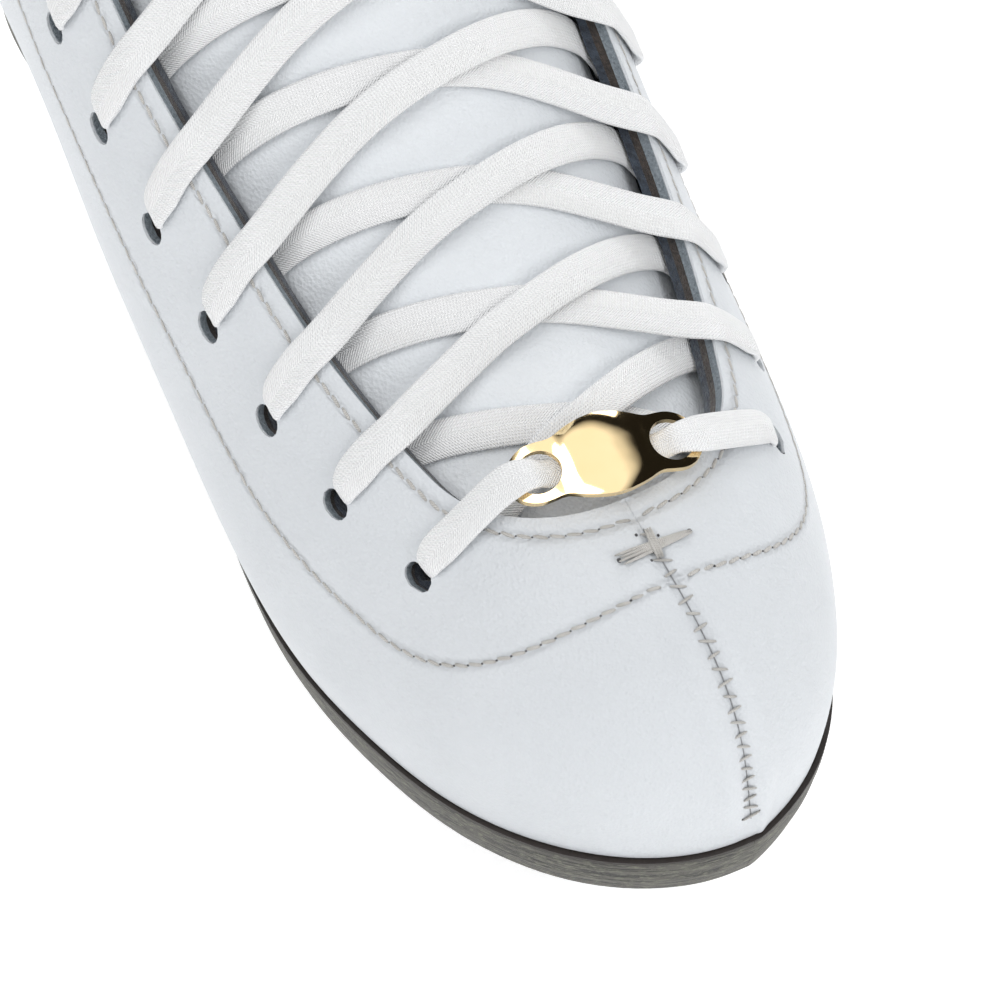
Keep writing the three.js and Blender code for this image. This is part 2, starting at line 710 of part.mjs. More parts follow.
// A stanchion flares from the runner up to the underside of its plate.
function stanchion([back, front], low, high, lean) {
  const rows = [0, 0.35, 0.7, 0.9, 1];
  const flare = (t) => t ** 3;
  const section = (t) => {
    const z = low + (high - low) * t;
    const halfWide = RUNNER_WIDTH / 2 + 0.6 + 7 * flare(t);
    const grow = 8 * flare(t) - 2 * Math.sin(Math.PI * t);
    const points = [];
    for (let i = 0; i < 12; i++) {
      const a = (i / 12) * 2 * Math.PI;
      const across = Math.sign(Math.sin(a)) * Math.abs(Math.sin(a)) ** 0.6;
      const along = Math.sign(Math.cos(a)) * Math.abs(Math.cos(a)) ** 0.6;
      const middle = (back + front) / 2 + lean * t;
      const s = middle + along * ((front - back) / 2 + grow);
      points.push(new THREE.Vector3(across * halfWide, ORIGIN_S - s, z));
    }
    return points;
  };
  return tower(rows.map(section));
}
// A closed solid through rings of points, capped at both ends.
function tower(rings) {
  const count = rings[0].length;
  const points = rings.flat();
  const triangles = [];
  for (let r = 0; r < rings.length - 1; r++)
    for (let i = 0; i < count; i++) {
      const j = (i + 1) % count;
      const a = r * count;
      const b = a + count;
      triangles.push([a + i, a + j, b + j], [a + i, b + j, b + i]);
    }
  const last = (rings.length - 1) * count;
  for (let i = 1; i < count - 1; i++) {
    triangles.push([0, i + 1, i]);
    triangles.push([last, last + i, last + i + 1]);
  }
  return closed(points, triangles);
}
add(
  "toe_stanchion",
  stanchion([TOE_POST[0] + 3, TOE_POST[1] - 3], POST_SEAT + GAP, SOLE_PLATE_TOP - PLATE - GAP, -4),
  STEEL,
);
add(
  "heel_stanchion",
  stanchion([HEEL_POST[0] + 3, HEEL_POST[1] - 3], POST_SEAT + GAP, HEEL_PLATE_TOP - PLATE - GAP, 2),
  STEEL,
);

function plate(outline, top, screws) {
  const shape = new THREE.Shape();
  outline.forEach(([s, x], i) => (i ? shape.lineTo(s, x) : shape.moveTo(s, x)));
  shape.closePath();
  const geometry = new THREE.ExtrudeGeometry(shape, {
    depth: PLATE,
    bevelEnabled: false,
  }).applyMatrix4(
    new THREE.Matrix4().set(0, 1, 0, 0, -1, 0, 0, ORIGIN_S, 0, 0, 1, top - PLATE, 0, 0, 0, 1),
  );
  const wider = 2 * GAP;
  const tools = screws.flatMap((place) => {
    const at = screwPlace(place, top - PLATE);
    const sink = new THREE.LatheGeometry(
      [
        [0, -1],
        [SCREW.head / 2 + GAP, -1],
        [SCREW.head / 2 + GAP, 0.3],
        [SCREW.shank / 2 + GAP, SCREW.headDepth],
        [0, SCREW.headDepth],
      ].map(([radius, height]) => new THREE.Vector2(radius, height)),
      8,
    )
      .rotateX(Math.PI / 2)
      .translate(at.x, at.y, at.z);
    return [rod(at, UP, SCREW.shank + wider, -1, PLATE + 1, 8), sink];
  });
  return cut(geometry, tools);
}
// A plate outline, symmetric about the blade's line: half widths along s, rounded at both ends.
const mirrored = (half) => [
  ...half.map(([s, w]) => [s, w]),
  ...[...half].reverse().map(([s, w]) => [s, -w]),
];
add(
  "sole_plate",
  plate(
    mirrored([
      [168, 9],
      [171, 17],
      [176, 21],
      [186, 22],
      [196, 21.5],
      [206, 23],
      [218, 23],
      [230, 20],
      [237, 14.5],
      [240, 8],
    ]).map(([s, w]) => [s + FORE, w]),
    SOLE_PLATE_TOP,
    SOLE_SCREWS,
  ),
  STEEL,
);
add(
  "heel_plate",
  plate(
    mirrored([
      [7, 8],
      [10, 14],
      [16, 18],
      [26, 19.5],
      [40, 20.5],
      [49, 19.5],
      [54, 14],
    ]),
    HEEL_PLATE_TOP,
    HEEL_SCREWS,
  ),
  STEEL,
);

// A countersunk screw with a round drive socket in its head.
function screw(place, plateTop) {
  const profile = [
    [0, 1.1],
    [SCREW.socket / 2, 1.1],
    [SCREW.socket / 2, 0],
    [SCREW.head / 2, 0],
    [SCREW.head / 2, 0.3],
    [SCREW.shank / 2, SCREW.headDepth],
    [SCREW.shank / 2, SCREW.length - 2],
    [0, SCREW.length],
  ].map(([radius, height]) => new THREE.Vector2(radius, height));
  return new THREE.LatheGeometry(profile, 8)
    .rotateX(Math.PI / 2)
    .translate(...screwPlace(place, plateTop - PLATE).toArray());
}
SOLE_SCREWS.forEach((place, i) =>
  add(`sole_screw_${i + 1}`, screw(place, SOLE_PLATE_TOP), STEEL),
);
HEEL_SCREWS.forEach((place, i) =>
  add(`heel_screw_${i + 1}`, screw(place, HEEL_PLATE_TOP), STEEL),
);

// ---------------------------------------------------------------- lace hooks
// A hook is a strip bent to a C, open away from the throat, on a rivet through the facing.
function hookFrame(i, side) {
  const k = hookStation(i);
  const angle = hookAngle(i, side);
  const place = surface(k, angle, side);
  const normal = outward(k, angle, side);
  const row = (at) => surface(at, facing(at, side) + HOOK_INSET * DEG, side);
  const rise = row(k + 0.1).sub(row(k - 0.1));
  rise.addScaledVector(normal, -rise.dot(normal)).normalize();
  const across = new THREE.Vector3().crossVectors(normal, rise);
  const away = surface(k, angle + 0.02, side).sub(place);
  const upward = Math.sign(across.dot(away));
  across.multiplyScalar(upward);
  return { k, angle, place, normal, across, along: rise.multiplyScalar(upward), upward };
}
function hook(i, side) {
  const { place, normal, across, along } = hookFrame(i, side);
  const profile = new THREE.Shape();
  [
    [-4.8, 0.6],
    [4.2, 0.6],
    [4.2, 1.4],
    [-3.6, 1.4],
    [-4.2, 3.2],
    [-3.0, 4.9],
    [4.4, 5.5],
    [5.2, 6.9],
    [-3.4, 5.9],
    [-5.3, 3.6],
  ].forEach(([a, b], j) => (j ? profile.lineTo(a, b) : profile.moveTo(a, b)));
  const strip = new THREE.ExtrudeGeometry(profile, {
    depth: HOOK_WIDTH,
    bevelEnabled: false,
  }).translate(0, 0, -HOOK_WIDTH / 2);
  const basis = new THREE.Matrix4().makeBasis(across, normal, along);
  basis.setPosition(place);
  const placed = strip.applyMatrix4(basis);
  const rivet = rod(place, normal, RIVET_DIAMETER, -WALL - 1, 1, 6);
  const tail = rod(place, normal, 5.5, -WALL - 1.6, -WALL - 0.7, 6);
  return join(placed, rivet, tail);
}
for (const [name, side] of SIDES)
  for (let i = 0; i < HOOKS; i++) add(`hook_${name}_${i + 1}`, hook(i, side), STEEL);

// ---------------------------------------------------------------- lacing
// Laces are laid out over the last in unrolled millimetres: a station, a signed angle round the section
// (medial is positive) and a depth. A ribbon is swept through samples of that route.
const ALONG_MM = 16; // roughly one station
const ROUND_MM = 45; // roughly one radian round the section
const OVER = LACE_THICKNESS / 2 + 0.45; // height of the lace's middle where it lies on the leather
const FLAT = { width: LACE_WIDTH, thick: LACE_THICKNESS, twist: 0 };
const GATHERED = { width: LACE_WIDTH * 0.75, thick: LACE_THICKNESS * 1.15, twist: 0 };
const BUNCHED = { width: LACE_IN_HOLE[0], thick: LACE_IN_HOLE[1], twist: 0 };
const IN_TAG = { width: LACE_IN_TAG, thick: LACE_THICKNESS };
const ON_EDGE = { width: 3, thick: 1.6, twist: 1 }; // round a hook's neck
const lay = (k, angle, depth, shape = FLAT) => ({ k, angle, depth, ...shape });

const sample = (at, wide, shape) => ({ at, wide, width: shape.width, thick: shape.thick });
function samplesOver(route, steps) {
  const places = new THREE.CatmullRomCurve3(
    route.map((p) => new THREE.Vector3(p.k * ALONG_MM, p.angle * ROUND_MM, p.depth)),
    false,
    "centripetal",
  );
  const shapes = new THREE.CatmullRomCurve3(
    route.map((p) => new THREE.Vector3(p.width, p.thick, p.twist)),
  );
  const count = Math.round((route.length - 1) * steps);
  return spread(0, 1, count + 1).map((t) => {
    const { x, y, z } = places.getPoint(t);
    const k = x / ALONG_MM;
    const angle = y / ROUND_MM;
    const shape = shapes.getPoint(t);
    const along = skin(k + 0.02, angle, MEDIAL, z).sub(skin(k - 0.02, angle, MEDIAL, z));
    const normal = outward(k, angle, MEDIAL);
    const turn = (shape.z * Math.PI) / 2;
    const wide = along
      .normalize()
      .multiplyScalar(Math.cos(turn))
      .addScaledVector(normal, Math.sin(turn));
    return sample(skin(k, angle, MEDIAL, z), wide, { width: shape.x, thick: shape.y });
  });
}

// A closed flat ribbon through samples of place, width direction, width and thickness.
const RIBBON_SECTION = [
  [-1, 0.9],
  [1, 0.9],
  [1, -0.9],
  [-1, -0.9],
];
function ribbon(samples) {
  let before = null;
  const rings = samples.map(({ at, wide, width, thick }, i) => {
    const ahead = samples[Math.min(i + 1, samples.length - 1)].at;
    const behind = samples[Math.max(i - 1, 0)].at;
    const tangent = ahead.clone().sub(behind).normalize();
    const w = wide.clone().addScaledVector(tangent, -wide.dot(tangent)).normalize();
    if (before && w.dot(before) < 0) w.negate();
    before = w;
    const up = new THREE.Vector3().crossVectors(tangent, w);
    return RIBBON_SECTION.map(([a, b]) =>
      at
        .clone()
        .addScaledVector(w, (a * width) / 2)
        .addScaledVector(up, (b * thick) / 2),
    );
  });
  return tower(rings);
}

const holeAt = (i, side) => signOf(side) * eyeletAngle(i, side);
// In from under the facing, out through a hole and back towards the throat over the leather.
function outThroughHole(i, side) {
  const k = eyeletStation(i);
  const at = (degrees) => holeAt(i, side) - signOf(side) * degrees * DEG;
  return [
    lay(k - 0.03, at(8), LACE_RUN),
    lay(k, at(3.6), LACE_RUN + 0.2, GATHERED),
    lay(k, at(0.5), WALL + 0.5, BUNCHED),
    lay(k, at(0), WALL - 0.9, BUNCHED),
    lay(k, at(0), 0.7, BUNCHED),
    lay(k, at(0.3), -0.7, BUNCHED),
    lay(k + 0.01, at(3.4), -1.85, GATHERED),
    lay(k + 0.03, at(8), -OVER),
  ];
}

const CROSS_LIFT = LACE_THICKNESS + 0.4; // how far the upper leg is lifted where two legs cross
// Depth of a taut lace that leaves a facing's edge on the outside and comes down on the tongue.
const touchAngle = Math.acos((ROUND_MM - LACE_RUN) / (ROUND_MM + OVER));
const tautDepth = (away) =>
  away < touchAngle
    ? ROUND_MM - (ROUND_MM - LACE_RUN) / Math.cos(touchAngle - away)
    : LACE_RUN;
// A leg across the throat. Each end is a station and side, and lies over or under its facing.
function leg(from, to, upper) {
  const edge = (end) => signOf(end.side) * facing(end.k, end.side);
  const a = edge(from);
  const b = edge(to);
  const beyond = (end, degrees) => edge(end) + signOf(end.side) * degrees * DEG;
  const over = (end) =>
    end.hooked
      ? [lay(end.k, beyond(end, -2.5), -OVER - 0.6)]
      : [4, -1.5].map((d) => lay(end.k, beyond(end, d), -OVER));
  const under = (end) => [lay(end.k, beyond(end, 2), LACE_RUN)];
  const lift = (share) => {
    const off = Math.min(Math.max((Math.abs(share - 0.5) - 0.14) / 0.2, 0), 1);
    return upper ? CROSS_LIFT * (1 - off) : 0;
  };
  const across = [0.1, 0.24, 0.37, 0.5, 0.63, 0.76, 0.9].map((share) => {
    const angle = a + (b - a) * share;
    const depths = [LACE_RUN - lift(share)];
    if (from.over) depths.push(tautDepth(Math.abs(angle - a)));
    if (to.over) depths.push(tautDepth(Math.abs(b - angle)));
    return lay(from.k + (to.k - from.k) * share, angle, Math.min(...depths));
  });
  const end = (it) => (it.over ? over(it) : under(it));
  return [...end(from), ...across, ...end(to).reverse()];
}

const HOOK_LIFT = 3.1; // height of the lace's middle round a hook's neck
// A place beside a hook: so far across (away from the throat) and along (towards the top) in its own frame.
function besideHook(i, side, acrossMm, alongMm, shape = ON_EDGE) {
  const { k, angle, place, across, along, upward } = hookFrame(i, side);
  const target = place
    .clone()
    .addScaledVector(across, acrossMm)
    .addScaledVector(along, alongMm * upward);
  const found = { k, angle };
  const step = 0.01;
  for (let pass = 0; pass < 6; pass++) {
    const here = surface(found.k, found.angle, side);
    const off = target.clone().sub(here);
    const byK = surface(found.k + step, found.angle, side).sub(here);
    const byAngle = surface(found.k, found.angle + step, side).sub(here);
    const [a, b] = [byK.dot(across), byAngle.dot(across)];
    const [c, d] = [byK.dot(along), byAngle.dot(along)];
    const [x, y] = [off.dot(across), off.dot(along)];
    const scale = step / (a * d - b * c);
    found.k += (x * d - y * b) * scale;
    found.angle += (y * a - x * c) * scale;
  }
  return lay(found.k, signOf(side) * found.angle, -HOOK_LIFT, shape);
}
// The station at which the facing's edge lies so far along a hook's frame.
function edgeBeside(i, side, alongMm) {
  const { k, place, along, upward } = hookFrame(i, side);
  const past = (at) =>
    surface(at, facing(at, side), side).sub(place).dot(along) * upward > alongMm;
  let [low, high] = [k - 2.5, k + 2.5];
  for (let pass = 0; pass < 20; pass++) {
    const middle = (low + high) / 2;
    if (past(middle)) high = middle;
    else low = middle;
  }
  return low;
}
const HOOK_PASS = HOOK_WIDTH / 2 + 2 * GAP + ON_EDGE.thick / 2;
const HOOK_CLEAR = HOOK_PASS + 0.8; // where the lace crosses the facing's edge, below and above a hook
function roundHook(i, side) {
  const at = (across, along, shape) => besideHook(i, side, across, along, shape);
  return [
    at(-8, -HOOK_CLEAR, GATHERED),
    at(-5, -HOOK_PASS),
    at(-2, -HOOK_PASS * 0.85),
    at(-0.6, 0),
    at(-2, HOOK_PASS * 0.85),
    at(-5, HOOK_PASS),
    at(-8, HOOK_CLEAR, GATHERED),
  ];
}

// The bow's knot: its station, its depth, and half sizes across, along and outwards.
const KNOT = { k: 17.9, depth: LACE_RUN - 4.4, half: [7, 5, 3.4] };
// One end of the lace from its first hole up to the knot: holes, then hooks, crossing at each level.
function strand(first) {
  const route = [];
  let side = first;
  for (let i = 0; i < EYELETS; i++) {
    const out = outThroughHole(i, side);
    if (i === 0) out.reverse();
    route.push(...out);
    const last = i === EYELETS - 1;
    const next = last ? edgeBeside(0, 1 - side, -HOOK_CLEAR) : eyeletStation(i + 1) - 0.03;
    route.push(
      ...leg(
        { k: eyeletStation(i) + 0.05, side, over: i > 0 },
        { k: next, side: 1 - side, over: last, hooked: last },
        side === LATERAL,
      ),
    );
    side = 1 - side;
  }
  for (let i = 0; i < HOOKS; i++) {
    route.push(...roundHook(i, side));
    const start = { k: edgeBeside(i, side, HOOK_CLEAR), side, over: true, hooked: true };
    if (i === HOOKS - 1) {
      const up = leg(start, { k: KNOT.k, side: 1 - side, over: true, hooked: true }, false);
      const sign = signOf(side);
      route.push(...up.slice(0, 3));
      route.push(lay(KNOT.k - 0.1, sign * 17 * DEG, LACE_RUN - 1.2));
      route.push(lay(KNOT.k, sign * 11.5 * DEG, KNOT.depth + 2.1, GATHERED));
      break;
    }
    const k = edgeBeside(i + 1, 1 - side, -HOOK_CLEAR);
    const end = { k, side: 1 - side, over: true, hooked: true };
    route.push(...leg(start, end, side === LATERAL));
    side = 1 - side;
  }
  return route;
}

// ---------------------------------------------------------------- lace tag
const TAG_STATION = 4.93;
const TAG_PROUD = 3.1; // its middle over the last's surface
const TAG_TURN = -8; // degrees, so that its medial end hangs lower
const barEnd = (side) => skin(eyeletStation(0), eyeletAngle(0, side), side, -OVER);
const tagNormal = outward(TAG_STATION, 0, MEDIAL);
const tagLong = barEnd(MEDIAL).sub(barEnd(LATERAL));
tagLong.addScaledVector(tagNormal, -tagLong.dot(tagNormal)).normalize();
tagLong.applyAxisAngle(tagNormal, TAG_TURN * DEG);
const tagWide = new THREE.Vector3().crossVectors(tagNormal, tagLong);
const tagFrame = new THREE.Matrix4()
  .makeBasis(tagLong, tagWide, tagNormal)
  .setPosition(skin(TAG_STATION, 0, MEDIAL, -TAG_PROUD));
const TAG_HOLE_AT = TAG_LENGTH / 2 - TAG_HOLE / 2 - TAG_RIM;
const tagDrop = (x) => x ** 2 / (2 * TAG_BEND);

// A waisted plate with a ring at each end.
function tag() {
  const half = TAG_WIDTH / 2;
  const end = TAG_LENGTH / 2;
  const ring = TAG_HOLE / 2 + TAG_RIM;
  const shape = new THREE.Shape();
  const corner = 0.55 * ring;
  shape.moveTo(end, 0);
  shape.bezierCurveTo(end, corner, end - ring + corner, ring, end - ring, ring);
  shape.bezierCurveTo(end - ring - 3, ring, 6, half, 0, half);
  shape.bezierCurveTo(-6, half, -end + ring + 3, ring, -end + ring, ring);
  shape.bezierCurveTo(-end + ring - corner, ring, -end, corner, -end, 0);
  shape.bezierCurveTo(-end, -corner, -end + ring - corner, -ring, -end + ring, -ring);
  shape.bezierCurveTo(-end + ring + 3, -ring, -6, -half, 0, -half);
  shape.bezierCurveTo(6, -half, end - ring - 3, -ring, end - ring, -ring);
  shape.bezierCurveTo(end - ring + corner, -ring, end, -corner, end, 0);
  for (const at of [-TAG_HOLE_AT, TAG_HOLE_AT]) {
    const hole = new THREE.Path();
    hole.absarc(at, 0, TAG_HOLE / 2, 0, 2 * Math.PI, true);
    shape.holes.push(hole);
  }
  const prism = new THREE.ExtrudeGeometry(shape, {
    depth: 12,
    bevelEnabled: false,
    curveSegments: 5,
  }).translate(0, 0, -8);
  const xs = spread(-end - 1, end + 1, 9);
  const sheet = (height) =>
    xs.map((x) => [-half - 1, half + 1].map((y) => new THREE.Vector3(x, y, height - tagDrop(x))));
  const bent = slab(sheet(TAG_THICKNESS / 2), sheet(-TAG_THICKNESS / 2));
  return geometryOf(manifoldOf(prism).intersect(manifoldOf(bent))).applyMatrix4(tagFrame);
}
add("lace_tag", tag(), GOLD);

// The bottom bar, outside the boot from hole to hole: over each rim of the tag, down through its hole
// and along beneath it.
const TAG_LIFT = TAG_THICKNESS / 2 + LACE_THICKNESS / 2 + TAG_LACE_CLEARANCE;
function barSamples() {
  const onTag = (x, height) =>
    new THREE.Vector3(x, 0, height - tagDrop(x)).applyMatrix4(tagFrame);
  const shoulder = (side, k, degrees, height) =>
    skin(k, eyeletAngle(0, side) - degrees * DEG, side, -height);
  const rim = TAG_LENGTH / 2;
  const first = eyeletStation(0);
  const places = [
    shoulder(LATERAL, first + 0.03, 8, OVER),
    shoulder(LATERAL, first - 0.02, 15, OVER + 0.3),
    onTag(-rim - 1.5, TAG_LIFT - 0.5),
    onTag(-rim + 0.6, TAG_LIFT),
    onTag(-TAG_HOLE_AT - 0.6, 1),
    onTag(-TAG_HOLE_AT + 0.8, -0.9),
    onTag(-TAG_HOLE_AT + 3.2, -TAG_LIFT),
    onTag(0, -TAG_LIFT),
    onTag(TAG_HOLE_AT - 3.2, -TAG_LIFT),
    onTag(TAG_HOLE_AT - 0.8, -0.9),
    onTag(TAG_HOLE_AT + 0.6, 1),
    onTag(rim - 0.6, TAG_LIFT),
    onTag(rim + 1.5, TAG_LIFT - 0.5),
    shoulder(MEDIAL, first, 15, OVER + 0.3),
    shoulder(MEDIAL, first + 0.03, 8, OVER),
  ];
  const curve = new THREE.CatmullRomCurve3(places, false, "centripetal");
  return spread(0, 1, places.length)
    .slice(1, -1)
    .map((t, i) => sample(curve.getPoint(t), tagWide, i > 2 && i < 11 ? IN_TAG : FLAT));
}

const LACE_STEPS = 1; // samples between two points of a route
const lateralHalf = samplesOver(strand(LATERAL), LACE_STEPS);
const medialHalf = samplesOver(strand(MEDIAL), LACE_STEPS);
add(
  "lace",
  ribbon([...lateralHalf.reverse(), ...barSamples(), ...medialHalf]),
  COTTON,
);

// ---------------------------------------------------------------- bow
const knotNormal = outward(KNOT.k, 0, MEDIAL);
const knotUp = new THREE.Vector3().crossVectors(knotNormal, new THREE.Vector3(1, 0, 0));
const knot = new THREE.SphereGeometry(1, 12, 8).scale(...KNOT.half);
knot.applyMatrix4(
  new THREE.Matrix4()
    .makeBasis(new THREE.Vector3(1, 0, 0), knotUp, knotNormal)
    .setPosition(skin(KNOT.k, 0, MEDIAL, KNOT.depth)),
);
add("lace_knot", knot, COTTON);

// Free stretches of the bow, drawn for the medial side and mirrored for the lateral one.
const LOOP = [
  [18.15, 11, KNOT.depth - 1.4, GATHERED],
  [18.25, 17, -1.5, FLAT],
  [17.8, 27, -5.5, FLAT],
  [16.9, 38, -9.2, FLAT],
  [15.7, 46, -10.4, FLAT],
  [14.8, 47, -10.6, FLAT],
  [14.4, 41, -10.2, FLAT],
  [14.9, 32, -8, FLAT],
  [15.9, 23.5, -5, FLAT],
  [16.8, 17, -1.4, FLAT],
  [17.45, 12.2, KNOT.depth - 0.8, GATHERED],
];
const TAIL = [
  [17.2, 4.8, KNOT.depth + 0.4, GATHERED],
  [16.7, 5.7, 0.5, FLAT],
  [15.7, 7.5, -2.6, FLAT],
  [14.7, 9, -4.2, FLAT],
  [13.7, 10.2, -5, FLAT],
  [12.9, 11, -5.4, FLAT],
];
const AGLET = { length: 20, diameter: 2.6 };
const drawn = (side, points) =>
  points.map(([k, degrees, depth, shape]) =>
    lay(k, signOf(side) * degrees * DEG, depth, shape),
  );
for (const [name, side] of SIDES) {
  add(`lace_loop_${name}`, ribbon(samplesOver(drawn(side, LOOP), 2)), COTTON);
  const tail = samplesOver(drawn(side, TAIL), 2);
  add(`lace_tail_${name}`, ribbon(tail), COTTON);
  const [before, end] = tail.slice(-2).map((it) => it.at);
  const down = end.clone().sub(before).normalize();
  add(`aglet_${name}`, rod(end, down, AGLET.diameter, GAP, AGLET.length, 8), CLEAR_TIP);
}

skate.updateMatrixWorld(true);
const extent = new THREE.Box3().setFromObject(skate);
const centre = extent.getCenter(new THREE.Vector3());
skate.position.set(-centre.x, -centre.y, -extent.min.z);

export default skate;
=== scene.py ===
"""A laced leather figure skate on a pale studio floor."""

import math

import bmesh
import bpy
import numpy as np
from bpy.props import FloatProperty, FloatVectorProperty, PointerProperty
from mathutils import Matrix, Vector


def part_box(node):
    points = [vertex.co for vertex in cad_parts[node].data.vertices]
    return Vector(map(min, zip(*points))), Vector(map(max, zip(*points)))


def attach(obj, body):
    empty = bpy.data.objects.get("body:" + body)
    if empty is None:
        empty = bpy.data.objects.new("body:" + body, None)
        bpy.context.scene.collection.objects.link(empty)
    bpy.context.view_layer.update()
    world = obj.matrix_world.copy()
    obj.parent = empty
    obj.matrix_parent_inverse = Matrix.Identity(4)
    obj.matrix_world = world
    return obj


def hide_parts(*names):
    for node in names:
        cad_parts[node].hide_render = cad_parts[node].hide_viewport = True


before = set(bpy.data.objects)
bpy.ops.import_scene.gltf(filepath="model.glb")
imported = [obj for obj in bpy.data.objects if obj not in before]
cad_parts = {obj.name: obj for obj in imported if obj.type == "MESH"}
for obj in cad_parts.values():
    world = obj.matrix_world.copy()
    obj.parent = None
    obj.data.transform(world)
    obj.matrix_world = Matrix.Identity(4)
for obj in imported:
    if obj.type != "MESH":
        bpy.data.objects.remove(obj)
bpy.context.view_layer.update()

bl_info = {
    "name": "Figure Skate",
    "version": (1, 0, 0),
    "blender": (4, 5, 0),
    "location": "View3D > Sidebar > Skate",
    "description": "Builds a laced leather figure skate over its solid model",
    "category": "Object",
}

DEG = math.pi / 180

# ------------------------------------------------------------------ sizes, in millimetres
ORIGIN_S = 120.0
BLADE_LINE_X = 5.0
BALL_Z = 60.0
HEEL_RISE = 40.0
LEATHER, STAY, LINING = 2.0, 1.3, 1.5
STAY_DEPTH = 2.04
LINING_DEPTH = STAY_DEPTH + STAY + 0.04
WALL = 4.8
THROAT, THROAT_ROUND = 4.57, 0.95
THROAT_POWER = 2.2  # of the superellipse that rounds the throat
HEEL_BACK, PAD_FROM, TOP = 15.6, 19.2, 20.0
EYELETS, HOOKS = 7, 4
LACE_THICKNESS = 1.3
LACE_RUN = WALL + 0.6 + LACE_THICKNESS / 2
TONGUE_DEPTH = LACE_RUN + LACE_THICKNESS / 2 + 0.6
TONGUE_LEATHER, TONGUE_FOAM = 1.6, 5.0
STATION = 16  # millimetres from one station to the next over the instep
RIDGE_RADIUS = 45  # of the instep's round ridge
HOOK_WIDTH = 6.4
HOOK_FROM_EDGE = 13 * DEG  # round the section from the facing's edge
WELT_TOP, WELT = 0.3, 2.6
MIDSOLE_TOP, MIDSOLE = 3.2, 3.6
OUTSOLE_TOP, OUTSOLE = 7.1, 3.8
SOLE_BOTTOM = BALL_Z - 0.3 - (WELT + MIDSOLE + OUTSOLE) - 0.6
SOLE_PLATE_TOP = SOLE_BOTTOM - 0.3
HEEL_PLATE_TOP = SOLE_PLATE_TOP + 2.5
PLATE = 2.4
HEEL_TOP = BALL_Z + HEEL_RISE - 12.0
HEEL_BOTTOM = HEEL_PLATE_TOP + 0.3
HEEL_LIFTS, TOP_PIECE = 4, 5.0
LATERAL, MEDIAL = -1, 1
SIDES = (("lateral", LATERAL), ("medial", MEDIAL))

# One row a station, from the toe tip over the instep to the shaft's top: ridge s, ridge z, centre x,
# edge s, edge z, lateral half, medial half, tuck, power, lateral opening, medial opening.
LAST = np.array([
    [262, 0, 10, 262, 0, 0, 0, 0.97, 2, 24, 24],
    [262.3, 12, 9, 262, 0, 7.5, 3, 0.97, 2, 24, 24],
    [260, 28, 8.5, 257, 0, 20, 15, 0.97, 2, 24, 24],
    [251, 40.5, 7.5, 247, 0, 31, 26.5, 0.97, 2.05, 24, 24],
    [236, 47.5, 6, 232, 0, 39, 35.5, 0.97, 2.1, 24, 26],
    [217, 51.5, 5.5, 215, 0, 44, 42.5, 0.965, 2.1, 29, 34],
    [197, 58, 5, 196, 0, 48, 45.5, 0.95, 2.1, 34, 44],
    [177, 68.5, 5.5, 176, 0.5, 49.5, 46, 0.92, 2.1, 40, 51],
    [158, 83, 5.5, 154, 4, 49, 46.5, 0.86, 2.1, 45.5, 54],
    [140, 98, 5, 130, 13, 49, 46.5, 0.77, 2.1, 51, 56],
    [125, 114, 4.5, 104, 26, 48.5, 46, 0.68, 2.1, 55, 57],
    [114, 130, 4, 76, 36.5, 47.5, 45, 0.64, 2.15, 56, 57],
    [108, 146, 3.5, 48, 40, 47, 44, 0.64, 2.25, 55, 56],
    [106, 162, 3, 25, 40.5, 46.5, 44, 0.64, 2.4, 54, 55],
    [106.5, 174, 2.5, 1.6, 40.5, 45.5, 44, 0.42, 2.5, 53, 54],
    [108, 184, 2, -1.5, 40.5, 45, 44, 0, 2.5, 52, 53],
    [110, 192, 2, -1.2, 41, 45, 44, 0, 2.4, 51, 52],
    [112, 200, 2, -1, 56, 45, 44, 0, 2.3, 50, 51],
    [114.5, 208, 2, 3, 95, 45, 44, 0, 2.2, 49, 50],
    [117, 215, 2, 9.5, 138, 45, 44.5, 0, 2.2, 48, 49],
    [119, 222, 2, 11, 180, 45.5, 45, 0, 2.2, 47, 48],
    [121, 230, 2, 8, 214, 46, 45.5, 0, 2.2, 46, 47],
    [123, 240, 2, 4, 244, 46, 45.5, 0, 2.2, 45, 46],
], float)

_runner, _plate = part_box("blade_runner"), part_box("heel_plate")
OFFSET = np.array([
    (_runner[0].x + _runner[1].x) * 500,
    _plate[1].y * 1000 - (ORIGIN_S - 7),
    0.0,
])


# ------------------------------------------------------------------ the last
def row(k):
    """The table's values at station k: a uniform cubic B-spline whose ends are mirrored."""
    k = np.clip(np.asarray(k, float), 0, len(LAST) - 1)
    i = np.minimum(k.astype(int), len(LAST) - 2)
    t = k - i
    weight = np.stack([
        (1 - t) ** 3,
        3 * t**3 - 6 * t**2 + 4,
        -3 * t**3 + 3 * t**2 + 3 * t + 1,
        t**3,
    ], -1) / 6
    table = np.vstack([2 * LAST[0] - LAST[1], LAST, 2 * LAST[-1] - LAST[-2]])
    return np.einsum("...n,...nc->...c", weight, table[i[..., None] + np.arange(4)])


def lowest(q):
    """The angle at the feather line: pi minus the arc sine of tuck to the power over two."""
    return np.pi - np.arcsin(np.clip(q[..., 7], 0, 1) ** (q[..., 8] / 2))


